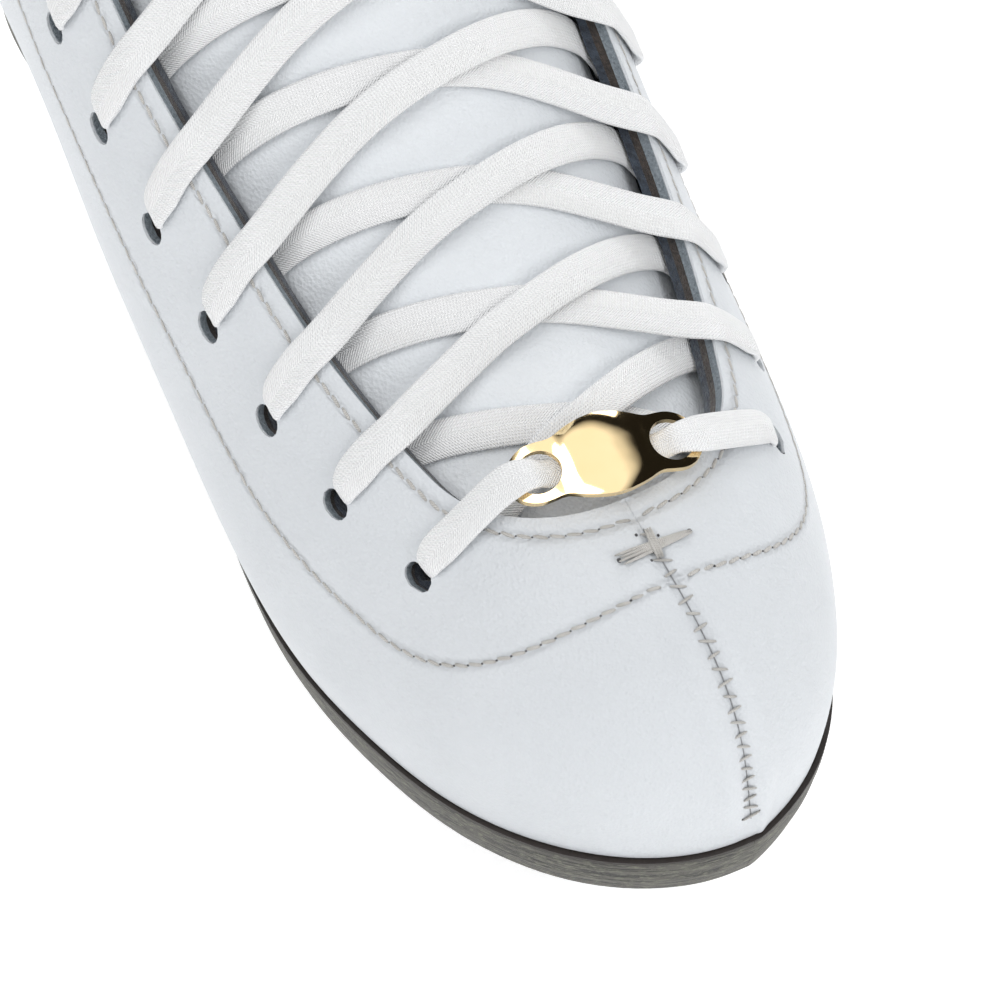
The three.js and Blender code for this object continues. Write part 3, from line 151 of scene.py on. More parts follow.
def surface(k, a):
    """Station k and signed angle a from the ridge, medial positive. Down the section the point goes from
    ridge to edge by (1 - cos a) / (1 - cos lowest), and out by half width times |sin a| ** (2 / power)."""
    k, a = np.broadcast_arrays(np.asarray(k, float), np.asarray(a, float))
    q = row(k)
    down = (1 - np.cos(a)) / (1 - np.cos(lowest(q)))
    turn = np.sin(a)
    half = np.where(turn < 0, q[..., 5], q[..., 6])
    out = np.sign(turn) * np.abs(turn) ** (2 / q[..., 8])
    return np.stack([
        q[..., 2] - BLADE_LINE_X + half * out,
        ORIGIN_S - q[..., 0] - (q[..., 3] - q[..., 0]) * down,
        q[..., 1] + (q[..., 4] - q[..., 1]) * down + BALL_Z,
    ], -1)


def unit(v):
    return v / np.maximum(np.linalg.norm(v, axis=-1, keepdims=True), 1e-12)


def outward(k, a):
    """The surface's outward normal, from differences of a hundredth."""
    k, a = np.broadcast_arrays(np.asarray(k, float), np.asarray(a, float))
    step = 0.01
    along = surface(k + step, a) - surface(np.maximum(k - step, 0), a)
    round_ = surface(k, a + step) - surface(k, a - step)
    n = unit(np.cross(round_, along))
    return np.where((k < 0.02)[..., None], np.array([0.0, -1, 0]), n)


def skin(k, a, depth):
    """The surface's point set in by a depth; a negative depth stands proud."""
    return surface(k, a) - outward(k, a) * np.asarray(depth, float)[..., None]


def facing(k, side):
    """The facing's edge angle: the opening times a superellipse round the throat."""
    t = np.clip((np.asarray(k, float) - THROAT) / THROAT_ROUND, 0, 1)
    opening = row(k)[..., 9 if side < 0 else 10] * DEG
    return opening * (1 - (1 - t) ** THROAT_POWER) ** (1 / THROAT_POWER)


def last_angle(k):
    return np.minimum(lowest(row(k)), np.pi - 0.04 * DEG)


def eyelet_station(i):
    return 5 + 0.95 * i - 0.016 * i * i


def eyelet_angle(i, side):
    return float(facing(eyelet_station(i), side)) + (18.5 + (3 if i == 0 else 0)) * DEG


def hook_station(i):
    return 11.3 + 1.25 * i + 0.16 * i * i


# ------------------------------------------------------------------ meshes
def to_row(points):
    return (np.asarray(points) + OFFSET) / 1000


def make(name, points, faces, looks, values=None, bevel=0.0, merge=False, body="skate",
         replaces=(), slot="white_leather", sharp=40, segments=2):
    """A mesh object from millimetre points. Its faces are turned round if its volume is negative."""
    points = to_row(points)
    faces = [np.asarray(f) for f in faces if len(f)]
    volume = 0.0
    for f in faces:
        for j in range(1, f.shape[1] - 1):
            a, b, c = points[f[:, 0]], points[f[:, j]], points[f[:, j + 1]]
            volume += np.einsum("ij,ij->", a, np.cross(b, c))
    if volume < 0:
        faces = [f[:, ::-1] for f in faces]
    mesh = bpy.data.meshes.new(name)
    mesh.from_pydata(points.tolist(), [], [p for f in faces for p in f.tolist()])
    for key, value in (values or {}).items():
        mesh.attributes.new(key, "FLOAT", "POINT").data.foreach_set(
            "value", np.asarray(value, np.float32).ravel())
    if merge:
        b = bmesh.new()
        b.from_mesh(mesh)
        bmesh.ops.remove_doubles(b, verts=b.verts, dist=4e-6)
        bmesh.ops.dissolve_degenerate(b, edges=b.edges, dist=1e-6)
        b.to_mesh(mesh)
        b.free()
    return finish(name, mesh, looks, bevel, body, replaces, sharp, segments)


def finish(name, mesh, looks, bevel=0.0, body="skate", replaces=(), sharp=40,
           segments=2):
    """Shades the mesh smooth up to an angle, gives it its finishes and lets it ride on its body."""
    mesh.polygons.foreach_set("use_smooth", np.ones(len(mesh.polygons), bool))
    mesh.set_sharp_from_angle(angle=sharp * DEG)
    thing = bpy.data.objects.new(name, mesh)
    bpy.context.scene.collection.objects.link(thing)
    for look in looks:
        mesh.materials.append(look)
    if bevel:
        edge = thing.modifiers.new("rounded_edges", "BEVEL")
        edge.width = bevel / 1000
        edge.segments = segments
        edge.limit_method = "ANGLE"
        edge.angle_limit = 38 * DEG
        edge.use_clamp_overlap = True
    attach(thing, body)
    if replaces:
        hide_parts(*replaces)
    return thing


def shell(name, outer, inner, looks, keep=None, values=None, depths=None, **more):
    """A closed solid between two grids: both faces of every kept cell, and a wall along each open edge."""
    rows, columns = outer.shape[:2]
    ids = np.arange(rows * columns).reshape(rows, columns)
    cells = np.stack([ids[:-1, :-1], ids[1:, :-1], ids[1:, 1:], ids[:-1, 1:]], -1)
    cells = cells[keep] if keep is not None else cells.reshape(-1, 4)
    count = rows * columns
    starts = cells.ravel()
    ends = np.roll(cells, -1, 1).ravel()
    forward = starts.astype(np.int64) * count + ends
    open_edge = ~np.isin(forward, ends.astype(np.int64) * count + starts)
    a, b = starts[open_edge], ends[open_edge]
    walls = np.stack([b, a, a + count, b + count], -1)
    faces = np.vstack([cells, cells[:, ::-1] + count, walls])
    points = np.vstack([outer.reshape(-1, 3), inner.reshape(-1, 3)])
    extra = {key: np.tile(np.asarray(v).ravel(), 2) for key, v in (values or {}).items()}
    if depths is not None:
        extra["depth_mm"] = np.repeat(np.asarray(depths, float), count)
    used, back = np.unique(faces, return_inverse=True)
    faces = back.reshape(faces.shape)
    extra = {key: v[used] for key, v in extra.items()}
    return make(name, points[used], [faces], looks, values=extra, merge=True, **more)


def ring_mesh(rings, caps=True):
    """Faces through rings of points of one count, (rows, count, 3), with a fan over each end."""
    rows, count = rings.shape[:2]
    ids = np.arange(rows * count).reshape(rows, count)
    ahead = np.roll(ids, -1, 1)
    quads = np.stack([ids[:-1], ahead[:-1], ahead[1:], ids[1:]], -1).reshape(-1, 4)
    points = rings.reshape(-1, 3)
    if not caps:
        return points, [quads]
    points = np.vstack([points, rings[0].mean(0), rings[-1].mean(0)])
    first, last = rows * count, rows * count + 1
    start = np.stack([ahead[0], ids[0], np.full(count, first)], -1)
    end = np.stack([ids[-1], ahead[-1], np.full(count, last)], -1)
    return points, [quads, start, end]


def frame_of(normal, hint):
    """Two directions across a normal: the hint laid flat, and the normal crossed with it."""
    one = unit(hint - np.sum(hint * normal, -1, keepdims=True) * normal)
    return one, np.cross(normal, one)


def smooth_path(points, per):
    """A centripetal Catmull-Rom curve through the points, with so many samples from one to the next."""
    p = np.asarray(points, float)
    p = np.vstack([2 * p[0] - p[1], p, 2 * p[-1] - p[-2]])
    p0, p1, p2, p3 = p[:-3, None], p[1:-2, None], p[2:-1, None], p[3:, None]
    gap = [np.maximum(np.linalg.norm(b - a, axis=-1, keepdims=True) ** 0.5, 1e-3)
           for a, b in ((p0, p1), (p1, p2), (p2, p3))]
    m1 = ((p1 - p0) / gap[0] - (p2 - p0) / (gap[0] + gap[1]) + (p2 - p1) / gap[1]) * gap[1]
    m2 = ((p2 - p1) / gap[1] - (p3 - p1) / (gap[1] + gap[2]) + (p3 - p2) / gap[2]) * gap[1]
    t = (np.arange(per) / per)[None, :, None]
    path = p1 + m1 * t + (3 * (p2 - p1) - 2 * m1 - m2) * t**2 + (2 * (p1 - p2) + m1 + m2) * t**3
    return np.vstack([path.reshape(-1, p.shape[1]), p[-2:-1]])


def arc(points):
    """Distance along a line of points."""
    return np.concatenate([[0], np.cumsum(np.linalg.norm(np.diff(points, axis=0), axis=1))])


def evenly(points, pitch):
    """(values, distances) of a path's columns at an even pitch, by distance along its first three."""
    s = arc(points[:, :3])
    n = max(int(round(s[-1] / pitch)), 2)
    at = (np.arange(n) + 0.5) * s[-1] / n
    return np.stack([np.interp(at, s, c) for c in points.T], -1), at


# ------------------------------------------------------------------ finishes
class Wire:
    """A socket of a material's node tree that can be added, multiplied and so on."""

    def __init__(self, tree, socket=None):
        self.tree, self.socket = tree, socket

    def any(self, kind, inputs=None, output=0, **settings):
        """Any node: its settings as keywords, its inputs by name or number, and the output wanted."""
        node = self.tree.nodes.new(kind)
        for key, value in settings.items():
            setattr(node, key, value)
        for key, value in (inputs or {}).items():
            if isinstance(value, Wire):
                self.tree.links.new(value.socket, node.inputs[key])
            else:
                node.inputs[key].default_value = value
        return Wire(self.tree, node.outputs[output])

    def math(self, operation, *others, clamp=False):
        values = dict(enumerate((self, *others)))
        return self.any("ShaderNodeMath", values, operation=operation, use_clamp=clamp)

    def __add__(self, other):
        return self.math("ADD", other)

    def __sub__(self, other):
        return self.math("SUBTRACT", other)

    def __mul__(self, other):
        return self.math("MULTIPLY", other)

    def __truediv__(self, other):
        return self.math("DIVIDE", other)

    def __neg__(self):
        return self * -1.0

    __radd__ = __add__
    __rmul__ = __mul__

    def __rsub__(self, other):
        return -self + other

    def step(self, low, high):
        """0 below low and 1 above high, with a straight ramp between."""
        return self.math("SUBTRACT", low).math("DIVIDE", high - low, clamp=True)

    def bell(self, width):
        """exp(-(x / width) ** 2)."""
        scaled = self / width
        return self.any("ShaderNodeMath", {0: math.e, 1: -(scaled * scaled)}, operation="POWER")

    def mix(self, one, two):
        """Colour one where this is 0 and two where it is 1."""
        return self.any("ShaderNodeMix", {0: self, 6: one, 7: two}, 2, data_type="RGBA")


def rgb(colour):
    return (*colour, 1.0)


def new_look(name, build, **constants):
    """A Principled finish. build gets a Wire and returns the varying inputs; the others are constants."""
    look = bpy.data.materials.new(name)
    look.use_nodes = True
    tree = look.node_tree
    shader = tree.nodes["Principled BSDF"]
    for key, value in constants.items():
        shader.inputs[key.replace("_", " ")].default_value = value
    for key, value in build(Wire(tree)).items():
        tree.links.new(value.socket, shader.inputs[key])
    return look


def place_of(w):
    return w.any("ShaderNodeTexCoord", {}, "Object")


def noise(w, at, scale, detail=3.0, rough=0.55):
    return w.any("ShaderNodeTexNoise", {"Vector": at, "Scale": scale, "Detail": detail,
                                        "Roughness": rough}, "Fac")


def stretched(w, at, scale):
    return w.any("ShaderNodeMapping", {"Vector": at, "Scale": scale})


def value_of(w, name):
    return w.any("ShaderNodeAttribute", {}, "Fac", attribute_name=name)


def bump(w, height, distance, strength=1.0, normal=None):
    inputs = {"Height": height, "Distance": distance, "Strength": strength}
    if normal:
        inputs["Normal"] = normal
    return w.any("ShaderNodeBump", inputs)


def white_leather(name="white_leather", painted_lift=1.0):
    """Fine pebbled grain, faint creases and shading, grooves along the stitch rows and a blue-grey core."""
    # painted light: a factor above 1 makes a paler copy of the leather for a part that sits in shade
    tones = [rgb([min(c * painted_lift, 0.95) for c in tone])
             for tone in (sizes().leather_colour, sizes().leather_shade)]

    def build(w):
        at = place_of(w)
        grain = w.any("ShaderNodeTexVoronoi", {"Vector": at, "Scale": 1500.0, "Randomness": 1.0}, "Distance")
        fine = noise(w, at, 3800.0, 2.0)
        broad = noise(w, at, 55.0, 4.0)
        creases = noise(w, stretched(w, at, (1.0, 0.55, 1.0)), 170.0, 5.0, 0.6)
        core = value_of(w, "depth_mm").step(0.45, 0.62)
        fibre = noise(w, at, 1900.0, 4.0, 0.7)
        groove = value_of(w, "row_one_mm").bell(0.85) + value_of(w, "row_two_mm").bell(0.85)
        cool = broad.step(0.3, 0.75).mix(*tones)
        # painted shade: the leather is mixed towards grey along the grooves of the stitch rows
        groove_shaded = (groove * 0.1).mix(cool, rgb((0.42, 0.43, 0.44)))
        grey = fibre.step(0.3, 0.7).mix(rgb((0.24, 0.29, 0.335)), rgb((0.56, 0.63, 0.69)))
        colour = core.mix(groove_shaded, grey)
        height = grain * 0.16 + fine * 0.10 + creases * 0.5 - groove * 0.7
        rough_core = core * fibre * 3.0
        normal = bump(w, height + rough_core, 0.0009, 0.9)
        return {"Base Color": colour, "Normal": normal,
                "Roughness": (0.36 + 0.12 * broad + 0.14 * fine) + core * 0.4}
    return new_look(name, build, Coat_Weight=0.06, Coat_Roughness=0.3, Specular_IOR_Level=0.45)


def felt(name, dark, light, scale=700.0):
    """Brushed fibres: two tones in a fine stretched noise, dull, with a raised nap."""
    def build(w):
        at = place_of(w)
        nap = noise(w, stretched(w, at, (1.0, 1.0, 2.4)), scale, 6.0, 0.7)
        return {"Base Color": nap.step(0.35, 0.7).mix(rgb(dark), rgb(light)),
                "Normal": bump(w, nap, 0.0006)}
    return new_look(name, build, Roughness=0.92, Sheen_Weight=0.35)


def sole_leather():
    """Burnished stacked leather: thin streaks along the layers, pressed flakes and a dark top line."""
    def build(w):
        at = place_of(w)
        streak = noise(w, stretched(w, at, (1.0, 1.0, 16.0)), 95.0, 6.0, 0.62)
        flake = noise(w, stretched(w, at, (1.0, 1.0, 3.2)), 560.0, 4.0, 0.7)
        patch = noise(w, at, 38.0, 3.0)
        tone = streak.step(0.42, 0.57).mix(rgb((0.010, 0.009, 0.008)), rgb((0.085, 0.082, 0.066)))
        olive = (flake.step(0.5, 0.66) * 0.8).mix(tone, rgb((0.21, 0.215, 0.16)))
        worn = (patch.step(0.5, 0.8) * 0.35).mix(olive, rgb((0.05, 0.042, 0.034)))
        edge = value_of(w, "depth_mm").step(0.62, 0.85)
        colour = edge.mix(worn, rgb((0.020, 0.014, 0.011)))
        return {"Base Color": colour, "Roughness": 0.42 + 0.35 * flake,
                "Normal": bump(w, streak + flake * 0.6, 0.0005)}
    return new_look("sole_leather", build, Coat_Weight=0.12, Coat_Roughness=0.35)


def cotton_lace():
    """A flat braid: two sets of slanting ribs meet in a herringbone down the middle, over a fine twist."""
    def build(w):
        along, across = value_of(w, "along_mm"), value_of(w, "across_mm")
        lean = across.math("ABSOLUTE") * 0.9
        ribs = ((along + lean) * (2 * math.pi / 0.52)).math("SINE")
        wales = (across * (2 * math.pi / 0.55)).math("SINE")
        yarn = ribs * 0.6 + wales * 0.35
        fuzz = noise(w, place_of(w), 2600.0, 4.0, 0.7)
        # painted shade: the braid is painted greyer in the dips between its ribs
        dip_shade = yarn.step(-0.9, 0.1)
        colour = dip_shade.mix(rgb((0.89, 0.90, 0.915)), rgb(sizes().lace_colour))
        return {"Base Color": colour, "Normal": bump(w, yarn * 0.5 + fuzz * 0.5, 0.00022)}
    return new_look("cotton_lace", build, Roughness=0.88, Sheen_Weight=0.25)


def thread_look():
    """Waxed linen thread, warm grey, with the slanting bands of its twist."""
    def build(w):
        at = place_of(w)
        twist = (value_of(w, "along_mm") * (2 * math.pi / 0.42)
                 + value_of(w, "across_mm") * 5.0).math("SINE")
        dirt = noise(w, at, 420.0, 3.0)
        clean = dirt.step(0.4, 0.85).mix(rgb((0.92, 0.90, 0.86)), rgb((0.66, 0.64, 0.60)))
        # painted shade: the grooves between the twist's bands are painted a darker grey
        return {"Base Color": twist.step(-1.0, -0.5).mix(rgb((0.52, 0.50, 0.47)), clean),
                "Normal": bump(w, twist, 0.0001)}
    return new_look("stitch_thread", build, Roughness=0.6)


def polished_gold():
    """Plated metal, mirror bright, with hairline scratches and a faint orange-peel wave."""
    def build(w):
        at = place_of(w)
        hair = noise(w, stretched(w, at, (1.0, 14.0, 14.0)), 420.0, 3.0, 0.8)
        wave = noise(w, at, 110.0, 2.0)
        return {"Base Color": wave.mix(rgb((0.92, 0.69, 0.36)), rgb((0.98, 0.79, 0.48))),
                "Roughness": 0.06 + 0.10 * hair.step(0.5, 0.9),
                "Normal": bump(w, wave, 0.0003, 0.35)}
    return new_look("polished_gold", build, Metallic=1.0)


def steel(name, low, high, brushed=(1.0, 22.0, 1.0)):
    """Ground steel: brush lines in the roughness, and the lowest edge of a blade honed brighter."""
    def build(w):
        at = place_of(w)
        lines = noise(w, stretched(w, at, brushed), 260.0, 5.0, 0.7)
        smear = noise(w, at, 60.0, 4.0)
        z = w.any("ShaderNodeSeparateXYZ", {0: at}, 2)
        honed = 1.0 - z.step(0.0055, 0.0065)
        rough = low + (high - low) * lines + 0.1 * smear.step(0.45, 0.8) - honed * (low * 0.6)
        return {"Base Color": lines.mix(rgb((0.55, 0.56, 0.57)), rgb((0.72, 0.73, 0.74))),
                "Roughness": rough, "Normal": bump(w, lines, 0.00006)}
    return new_look(name, build, Metallic=1.0)


def clear_tip():
    """Clear heat-shrunk film with faint rings."""
    def build(w):
        rings = noise(w, stretched(w, place_of(w), (1.0, 1.0, 6.0)), 300.0, 2.0)
        return {"Base Color": rings.mix(rgb((0.72, 0.75, 0.78)), rgb((0.86, 0.88, 0.90))),
                "Roughness": 0.12 + 0.15 * rings}
    return new_look("clear_tip", build, Coat_Weight=0.8, Coat_Roughness=0.05)


def painted_shade(name, colour):
    """A dark pricked hole: nearly black, with a little fluff."""
    def build(w):
        fluff = noise(w, place_of(w), 2200.0, 3.0)
        return {"Base Color": fluff.mix(rgb(colour), rgb([c * 2.5 for c in colour]))}
    return new_look(name, build, Roughness=0.9)


LOOKS = {}
LOOK_MAKERS = {
    "leather": white_leather,
    # painted light: the tongue is a paler copy of the boot's leather, brightened against the shade it sits
    # in between the facings
    "tongue": lambda: white_leather("tongue_leather", 1.3),
    "sole": sole_leather,
    "lace": cotton_lace,
    "thread": thread_look,
    "gold": polished_gold,
    "blade": lambda: steel("ground_steel", 0.14, 0.34),
    "plate": lambda: steel("plated_steel", 0.2, 0.42, (6.0, 6.0, 1.0)),
    "tip": clear_tip,
    "lining": lambda: felt("navy_lining", (0.010, 0.014, 0.024), (0.055, 0.075, 0.105)),
    "stay": lambda: felt("brown_stay", (0.012, 0.009, 0.008), (0.07, 0.05, 0.038), 900.0),
    "foam": lambda: felt("grey_foam", (0.50, 0.50, 0.50), (0.72, 0.72, 0.71), 500.0),
    "board": lambda: felt("fibre_board", (0.26, 0.18, 0.10), (0.42, 0.31, 0.19), 300.0),
    # painted shade: nearly black lozenges sunk where the needle holes are
    "hole": lambda: painted_shade("pricked_hole_shade", (0.05, 0.05, 0.052)),
    "seam": lambda: painted_shade("seam_shadow", (0.16, 0.165, 0.17)),
}


def look(name):
    """The finish of that name, made the first time it is asked for."""
    if name not in LOOKS:
        LOOKS[name] = LOOK_MAKERS[name]()
    return LOOKS[name]


def sizes():
    """The sizes and colours shown in the panel."""
    return bpy.context.scene.skate


# ------------------------------------------------------------------ the boot's leather
def throat_row(side, beyond_mm, top):
    """(k, a) along a line a distance outside the facing's edge: the throat's superellipse grown by that
    distance, from the ridge round to its side, then straight up at a constant distance."""
    round_ = beyond_mm / STATION
    phi = np.linspace(0, np.pi / 2, 60)
    k = THROAT + THROAT_ROUND - (THROAT_ROUND + round_) * np.cos(phi) ** (2 / THROAT_POWER)
    wide = row(k)[:, 9 if side < 0 else 10] * DEG + beyond_mm / RIDGE_RADIUS
    turn = wide * np.sin(phi) ** (2 / THROAT_POWER)
    up = np.linspace(THROAT + THROAT_ROUND, top, 160)[1:]
    k = np.concatenate([k, up])
    turn = np.concatenate([turn, facing(up, side) + beyond_mm / RIDGE_RADIUS])
    return k, turn * side


VAMP_FROM, VAMP_ROUND, VAMP_POWER = 3.69, 1.53, 2.8


def vamp_angle(k, side):
    """The second seam's angle: it widens up the instep and closes to a flat U at the toe."""
    t = np.clip((k - VAMP_FROM) / VAMP_ROUND, 0, 1)
    base = np.minimum(66 + 3.9 * (k - 5.04), 86) * DEG
    lean = 1.0 if side < 0 else 0.97
    return base * lean * (1 - (1 - t) ** VAMP_POWER) ** (1 / VAMP_POWER)


def vamp_row(side, top):
    """(k, a) along the second seam, finely spaced where it turns across the toe."""
    phi = np.linspace(0, np.pi / 2, 90)
    k = VAMP_FROM + VAMP_ROUND * (1 - np.cos(phi) ** (2 / VAMP_POWER))
    k = np.concatenate([k, np.linspace(VAMP_FROM + VAMP_ROUND, top, 160)[1:]])
    return k, vamp_angle(k, side) * side


def rows_of_k(to=PAD_FROM + 0.1):
    """Stations of the boot's grids, close together where the throat turns."""
    return np.unique(np.concatenate([
        [0, 0.02, 0.05, 0.1, 0.17, 0.26, 0.36, 0.48],
        np.arange(0.6, 4.3, 0.09),
        THROAT + THROAT_ROUND * np.array([
            -.12, -.06, -.02, 0, .002, .006, .014, .028, .05, .08, .12,
            .17, .23, .3, .38, .46, .54, .62, .7, .78, .86, .94]),
        np.arange(THROAT + THROAT_ROUND, 11.9, 0.055),
        np.arange(11.9, to - 0.05, 0.11),
        [to],
    ]))


BAND = np.concatenate([np.linspace(0, 3, 6), np.arange(3.8, 30.1, 0.95)]) * DEG
REST = np.linspace(0, 1, 30)[1:]


def boot_grid(side, band=BAND, rest=REST, start=0.0, to=PAD_FROM + 0.1):
    """(k, a) grids of one half: columns at fixed distances from the facing's edge, then even shares of
    what is left down to the feather line."""
    k = rows_of_k(to)
    k = k[k >= start]
    first = np.maximum(facing(k, side), 0.0004)
    last = last_angle(k)
    near = first[:, None] + band[None] * np.minimum(1, (last - first) / (40 * DEG))[:, None]
    far = near[:, -1:] + (last[:, None] - near[:, -1:]) * rest[None]
    a = np.hstack([near, far]) * side
    return np.repeat(k[:, None], a.shape[1], 1), a


def punch(k, a, centre, radii):
    """Opens an oval in a (k, a) grid. In the centre's tangent plane, cells nearer than three quarters of
    the oval are dropped, their rim is set on the oval, and what is round it is pushed out to make room."""
    k0, a0 = centre
    by_k = (surface(k0 + 0.01, a0) - surface(k0 - 0.01, a0)) / 0.02
    by_a = (surface(k0, a0 + 0.005) - surface(k0, a0 - 0.005)) / 0.01
    e1, e2 = frame_of(outward(k0, a0), by_k)
    jac = np.array([[by_k @ e1, by_a @ e1], [by_k @ e2, by_a @ e2]])
    off = np.stack([k - k0, a - a0], -1) @ jac.T / np.asarray(radii)
    r = np.linalg.norm(off, axis=-1)
    middle = (r[:-1, :-1] + r[1:, :-1] + r[1:, 1:] + r[:-1, 1:]) / 4
    keep = middle > 0.75
    gone = np.pad(~keep, 1)
    touched = gone[:-1, :-1] | gone[1:, :-1] | gone[1:, 1:] | gone[:-1, 1:]
    reach = 2.1
    pushed = 1.02 + (np.maximum(r, 0.7) - 0.7) * (reach - 1.02) / (reach - 0.7)
    new = np.where(touched, 1.0, np.where(r < reach, pushed, r))
    moved = off * (new / np.maximum(r, 1e-6))[..., None] * np.asarray(radii)
    back = moved @ np.linalg.inv(jac).T
    near = r < reach
    return np.where(near, k0 + back[..., 0], k), np.where(near, a0 + back[..., 1], a), keep


def pierce(k, a, side, wider=0.0):
    """The eyelets and hook rivets of one half opened in its grid."""
    keep = np.ones((k.shape[0] - 1, k.shape[1] - 1), bool)
    spots = [((eyelet_station(i), side * (eyelet_angle(i, side) + 0.5 * DEG)), (2.9 + wider, 2.1 + wider))
             for i in range(EYELETS)]
    spots += [((hook_station(i), side * (float(facing(hook_station(i), side)) + HOOK_FROM_EDGE)),
               (1.7 + wider, 1.7 + wider)) for i in range(HOOKS)]
    for centre, radii in spots:
        k, a, kept = punch(k, a, centre, radii)
        keep &= kept
    return k, a, keep


def from_row(k, a, line):
    """Distance on the surface from a stitch row, negative on the throat's side of it."""
    row_k, row_a = line
    points = surface(k, a).reshape(-1, 3)
    stitches = surface(row_k, row_a)
    away = np.concatenate([np.sqrt(((part[:, None] - stitches[None]) ** 2).sum(-1)).min(1)
                           for part in np.array_split(points, 24)]).reshape(k.shape)
    inside = (k > row_k[0]) & (np.abs(a) < np.interp(k, row_k, np.abs(row_a)))
    return np.where(inside, -away, away)


def relief(k, a, side):
    """How far the outer face stands below the last: rolled edges at the toe seam, dips along the rows
    and round the eyelets, and a slow unevenness of the hide, all in millimetres."""
    p = surface(k, a)
    wave = (np.sin(p[..., 0] * 0.13 + 1.3) * np.sin(p[..., 1] * 0.11) + np.sin(p[..., 2] * 0.17 + 0.4)
            * np.sin(p[..., 1] * 0.07 + 2.0)) * 0.12
    half = row(k)[..., 5 if side < 0 else 6]
    from_seam = np.abs(a) * np.maximum(half, 1)
    seam = 0.4 * np.exp(-(from_seam / 1.0) ** 2) * (k < THROAT)
    ridge = -0.9 * np.exp(-((from_seam - 3.6) / 2.4) ** 2) * np.clip((THROAT - 0.4 - k) / 0.8, 0, 1)
    return wave + (seam + ridge) * np.clip((k - 0.3) / 0.9, 0, 1)


def build_upper():
    """Both halves of the outer leather, pierced and grooved, with the layers behind them."""
    for name, side in SIDES:
        k, a = boot_grid(side)
        k, a, keep = pierce(k, a, side)
        base = relief(k, a, side)
        one = from_row(k, a, throat_row(side, 3.0, PAD_FROM))
        two = from_row(k, a, vamp_row(side, PAD_FROM))
        shell(f"upper_{name}_leather", skin(k, a, base), skin(k, a, base * 0 + LEATHER),
              [look("leather")], keep, {"row_one_mm": one, "row_two_mm": two}, (0, LEATHER), bevel=0.22,
              replaces=(f"upper_{name}",), sharp=50)
        k, a = boot_grid(side, BAND[::2], REST[1::2])
        k, a, keep = pierce(k, a, side, -0.5)
        fuzz = 0.12 * np.sin(k * 97) * np.sin(a * 61)
        outer, inner = skin(k, a, LINING_DEPTH + 0 * a), skin(k, a, LINING_DEPTH + LINING + fuzz)
        shell(f"lining_{name}_felt", outer, inner, [look("lining")], keep,
              bevel=0.3, replaces=(f"lining_{name}",), slot="dark_lining")
        k, a = boot_grid(side, BAND[::2], np.array([]), THROAT - 0.02)
        k, a, keep = pierce(k, a, side, 0.35)
        outer, inner = skin(k, a, STAY_DEPTH + 0 * a), skin(k, a, STAY_DEPTH + STAY + 0 * a)
        shell(f"facing_stay_{name}_board", outer, inner, [look("stay")], keep,
              bevel=0.1, replaces=(f"facing_stay_{name}",), slot="stiffener")


def band_over(name, k, reach, depth, thick, looks, roll=0.0, count=41, **more):
    """A layer across the ridge: even shares of a reach on each side, its long edges turned down by roll."""
    share = np.linspace(-1, 1, count)
    left, right = reach(k, LATERAL), reach(k, MEDIAL)
    a = np.where(share < 0, left[:, None] * share, right[:, None] * share)
    kk = np.repeat(k[:, None], count, 1)
    turned = depth + roll * np.abs(share) ** 12 + 0 * a
    wave = 0.18 * np.sin(kk * 2.3 + share * 3) * np.cos(share * 5 + kk * 0.7)
    return shell(name, skin(kk, a, turned + wave), skin(kk, a, turned + wave + thick), looks,
                 **more)


def build_tongue():
    """The tongue's leather and the felt pad behind it, from under the vamp to above the shaft."""
    def reach(k, side):
        return facing(np.maximum(k, THROAT + 0.6), side) + 12 * DEG
    k = np.unique(np.concatenate([np.arange(4.0, 12, 0.12), np.arange(12, 21.9, 0.15), [21.9]]))
    tip = 1 - 0.22 * np.clip((k - 20.4) / 1.5, 0, 1) ** 3
    leather = band_over("tongue_leather", k, lambda q, side: reach(q, side) * tip, TONGUE_DEPTH,
                        TONGUE_LEATHER, [look("tongue")], depths=(0, TONGUE_LEATHER),
                        bevel=0.4, replaces=("tongue",))
    inner = k[(k > 4.6) & (k < 21.4)]
    pad = band_over("tongue_felt", inner, lambda q, side: reach(q, side) * 0.76,
                    TONGUE_DEPTH + TONGUE_LEATHER + 0.2, TONGUE_FOAM, [look("foam")], bevel=1.4,
                    replaces=("tongue_pad",), slot="foam")
    return leather


def build_shaft_trim():
    """The padded collar rolled over the top edge, and the strip down the centre back."""
    k = np.linspace(PAD_FROM + 0.06, TOP, 9)
    t = np.linspace(0, 1, 91)
    left, right = facing(k, LATERAL), facing(k, MEDIAL)
    a = np.where(t < 0.5, -left[:, None] - (np.pi - left[:, None]) * 2 * t,
                 right[:, None] + (np.pi - right[:, None]) * 2 * (1 - t))
    a = np.where(np.abs(t - 0.5) < 1e-9, np.pi - 1e-4, a)
    kk = np.repeat(k[:, None], t.size, 1)
    roll = np.sin(np.pi * (kk - k[0]) / (k[-1] - k[0])) ** 0.6
    thin = np.sin(np.pi * t)[None] ** 0.4
    outer = skin(kk, a, -0.6 * roll * thin)
    inner = skin(kk, a, WALL + 0.1 + 2.4 * roll * thin)
    collar = shell("collar_roll", outer, inner, [look("leather")], depths=(0, 0), bevel=1.2,
                   replaces=("collar",), segments=4)
    k = np.linspace(HEEL_BACK + 0.12, PAD_FROM, 60)
    share = np.linspace(-1, 1, 15)
    kk = np.repeat(k[:, None], 15, 1)
    a = np.pi - share[None] * 9 * DEG + 0 * kk
    thick = 0.3 + 1.2 * (1 - share**10)[None] + 0 * kk
    shell("backstay_strip", skin(kk, a, -thick), skin(kk, a, 0.0 * kk), [look("leather")],
          depths=(0, 0), bevel=0.3, replaces=("backstay",))


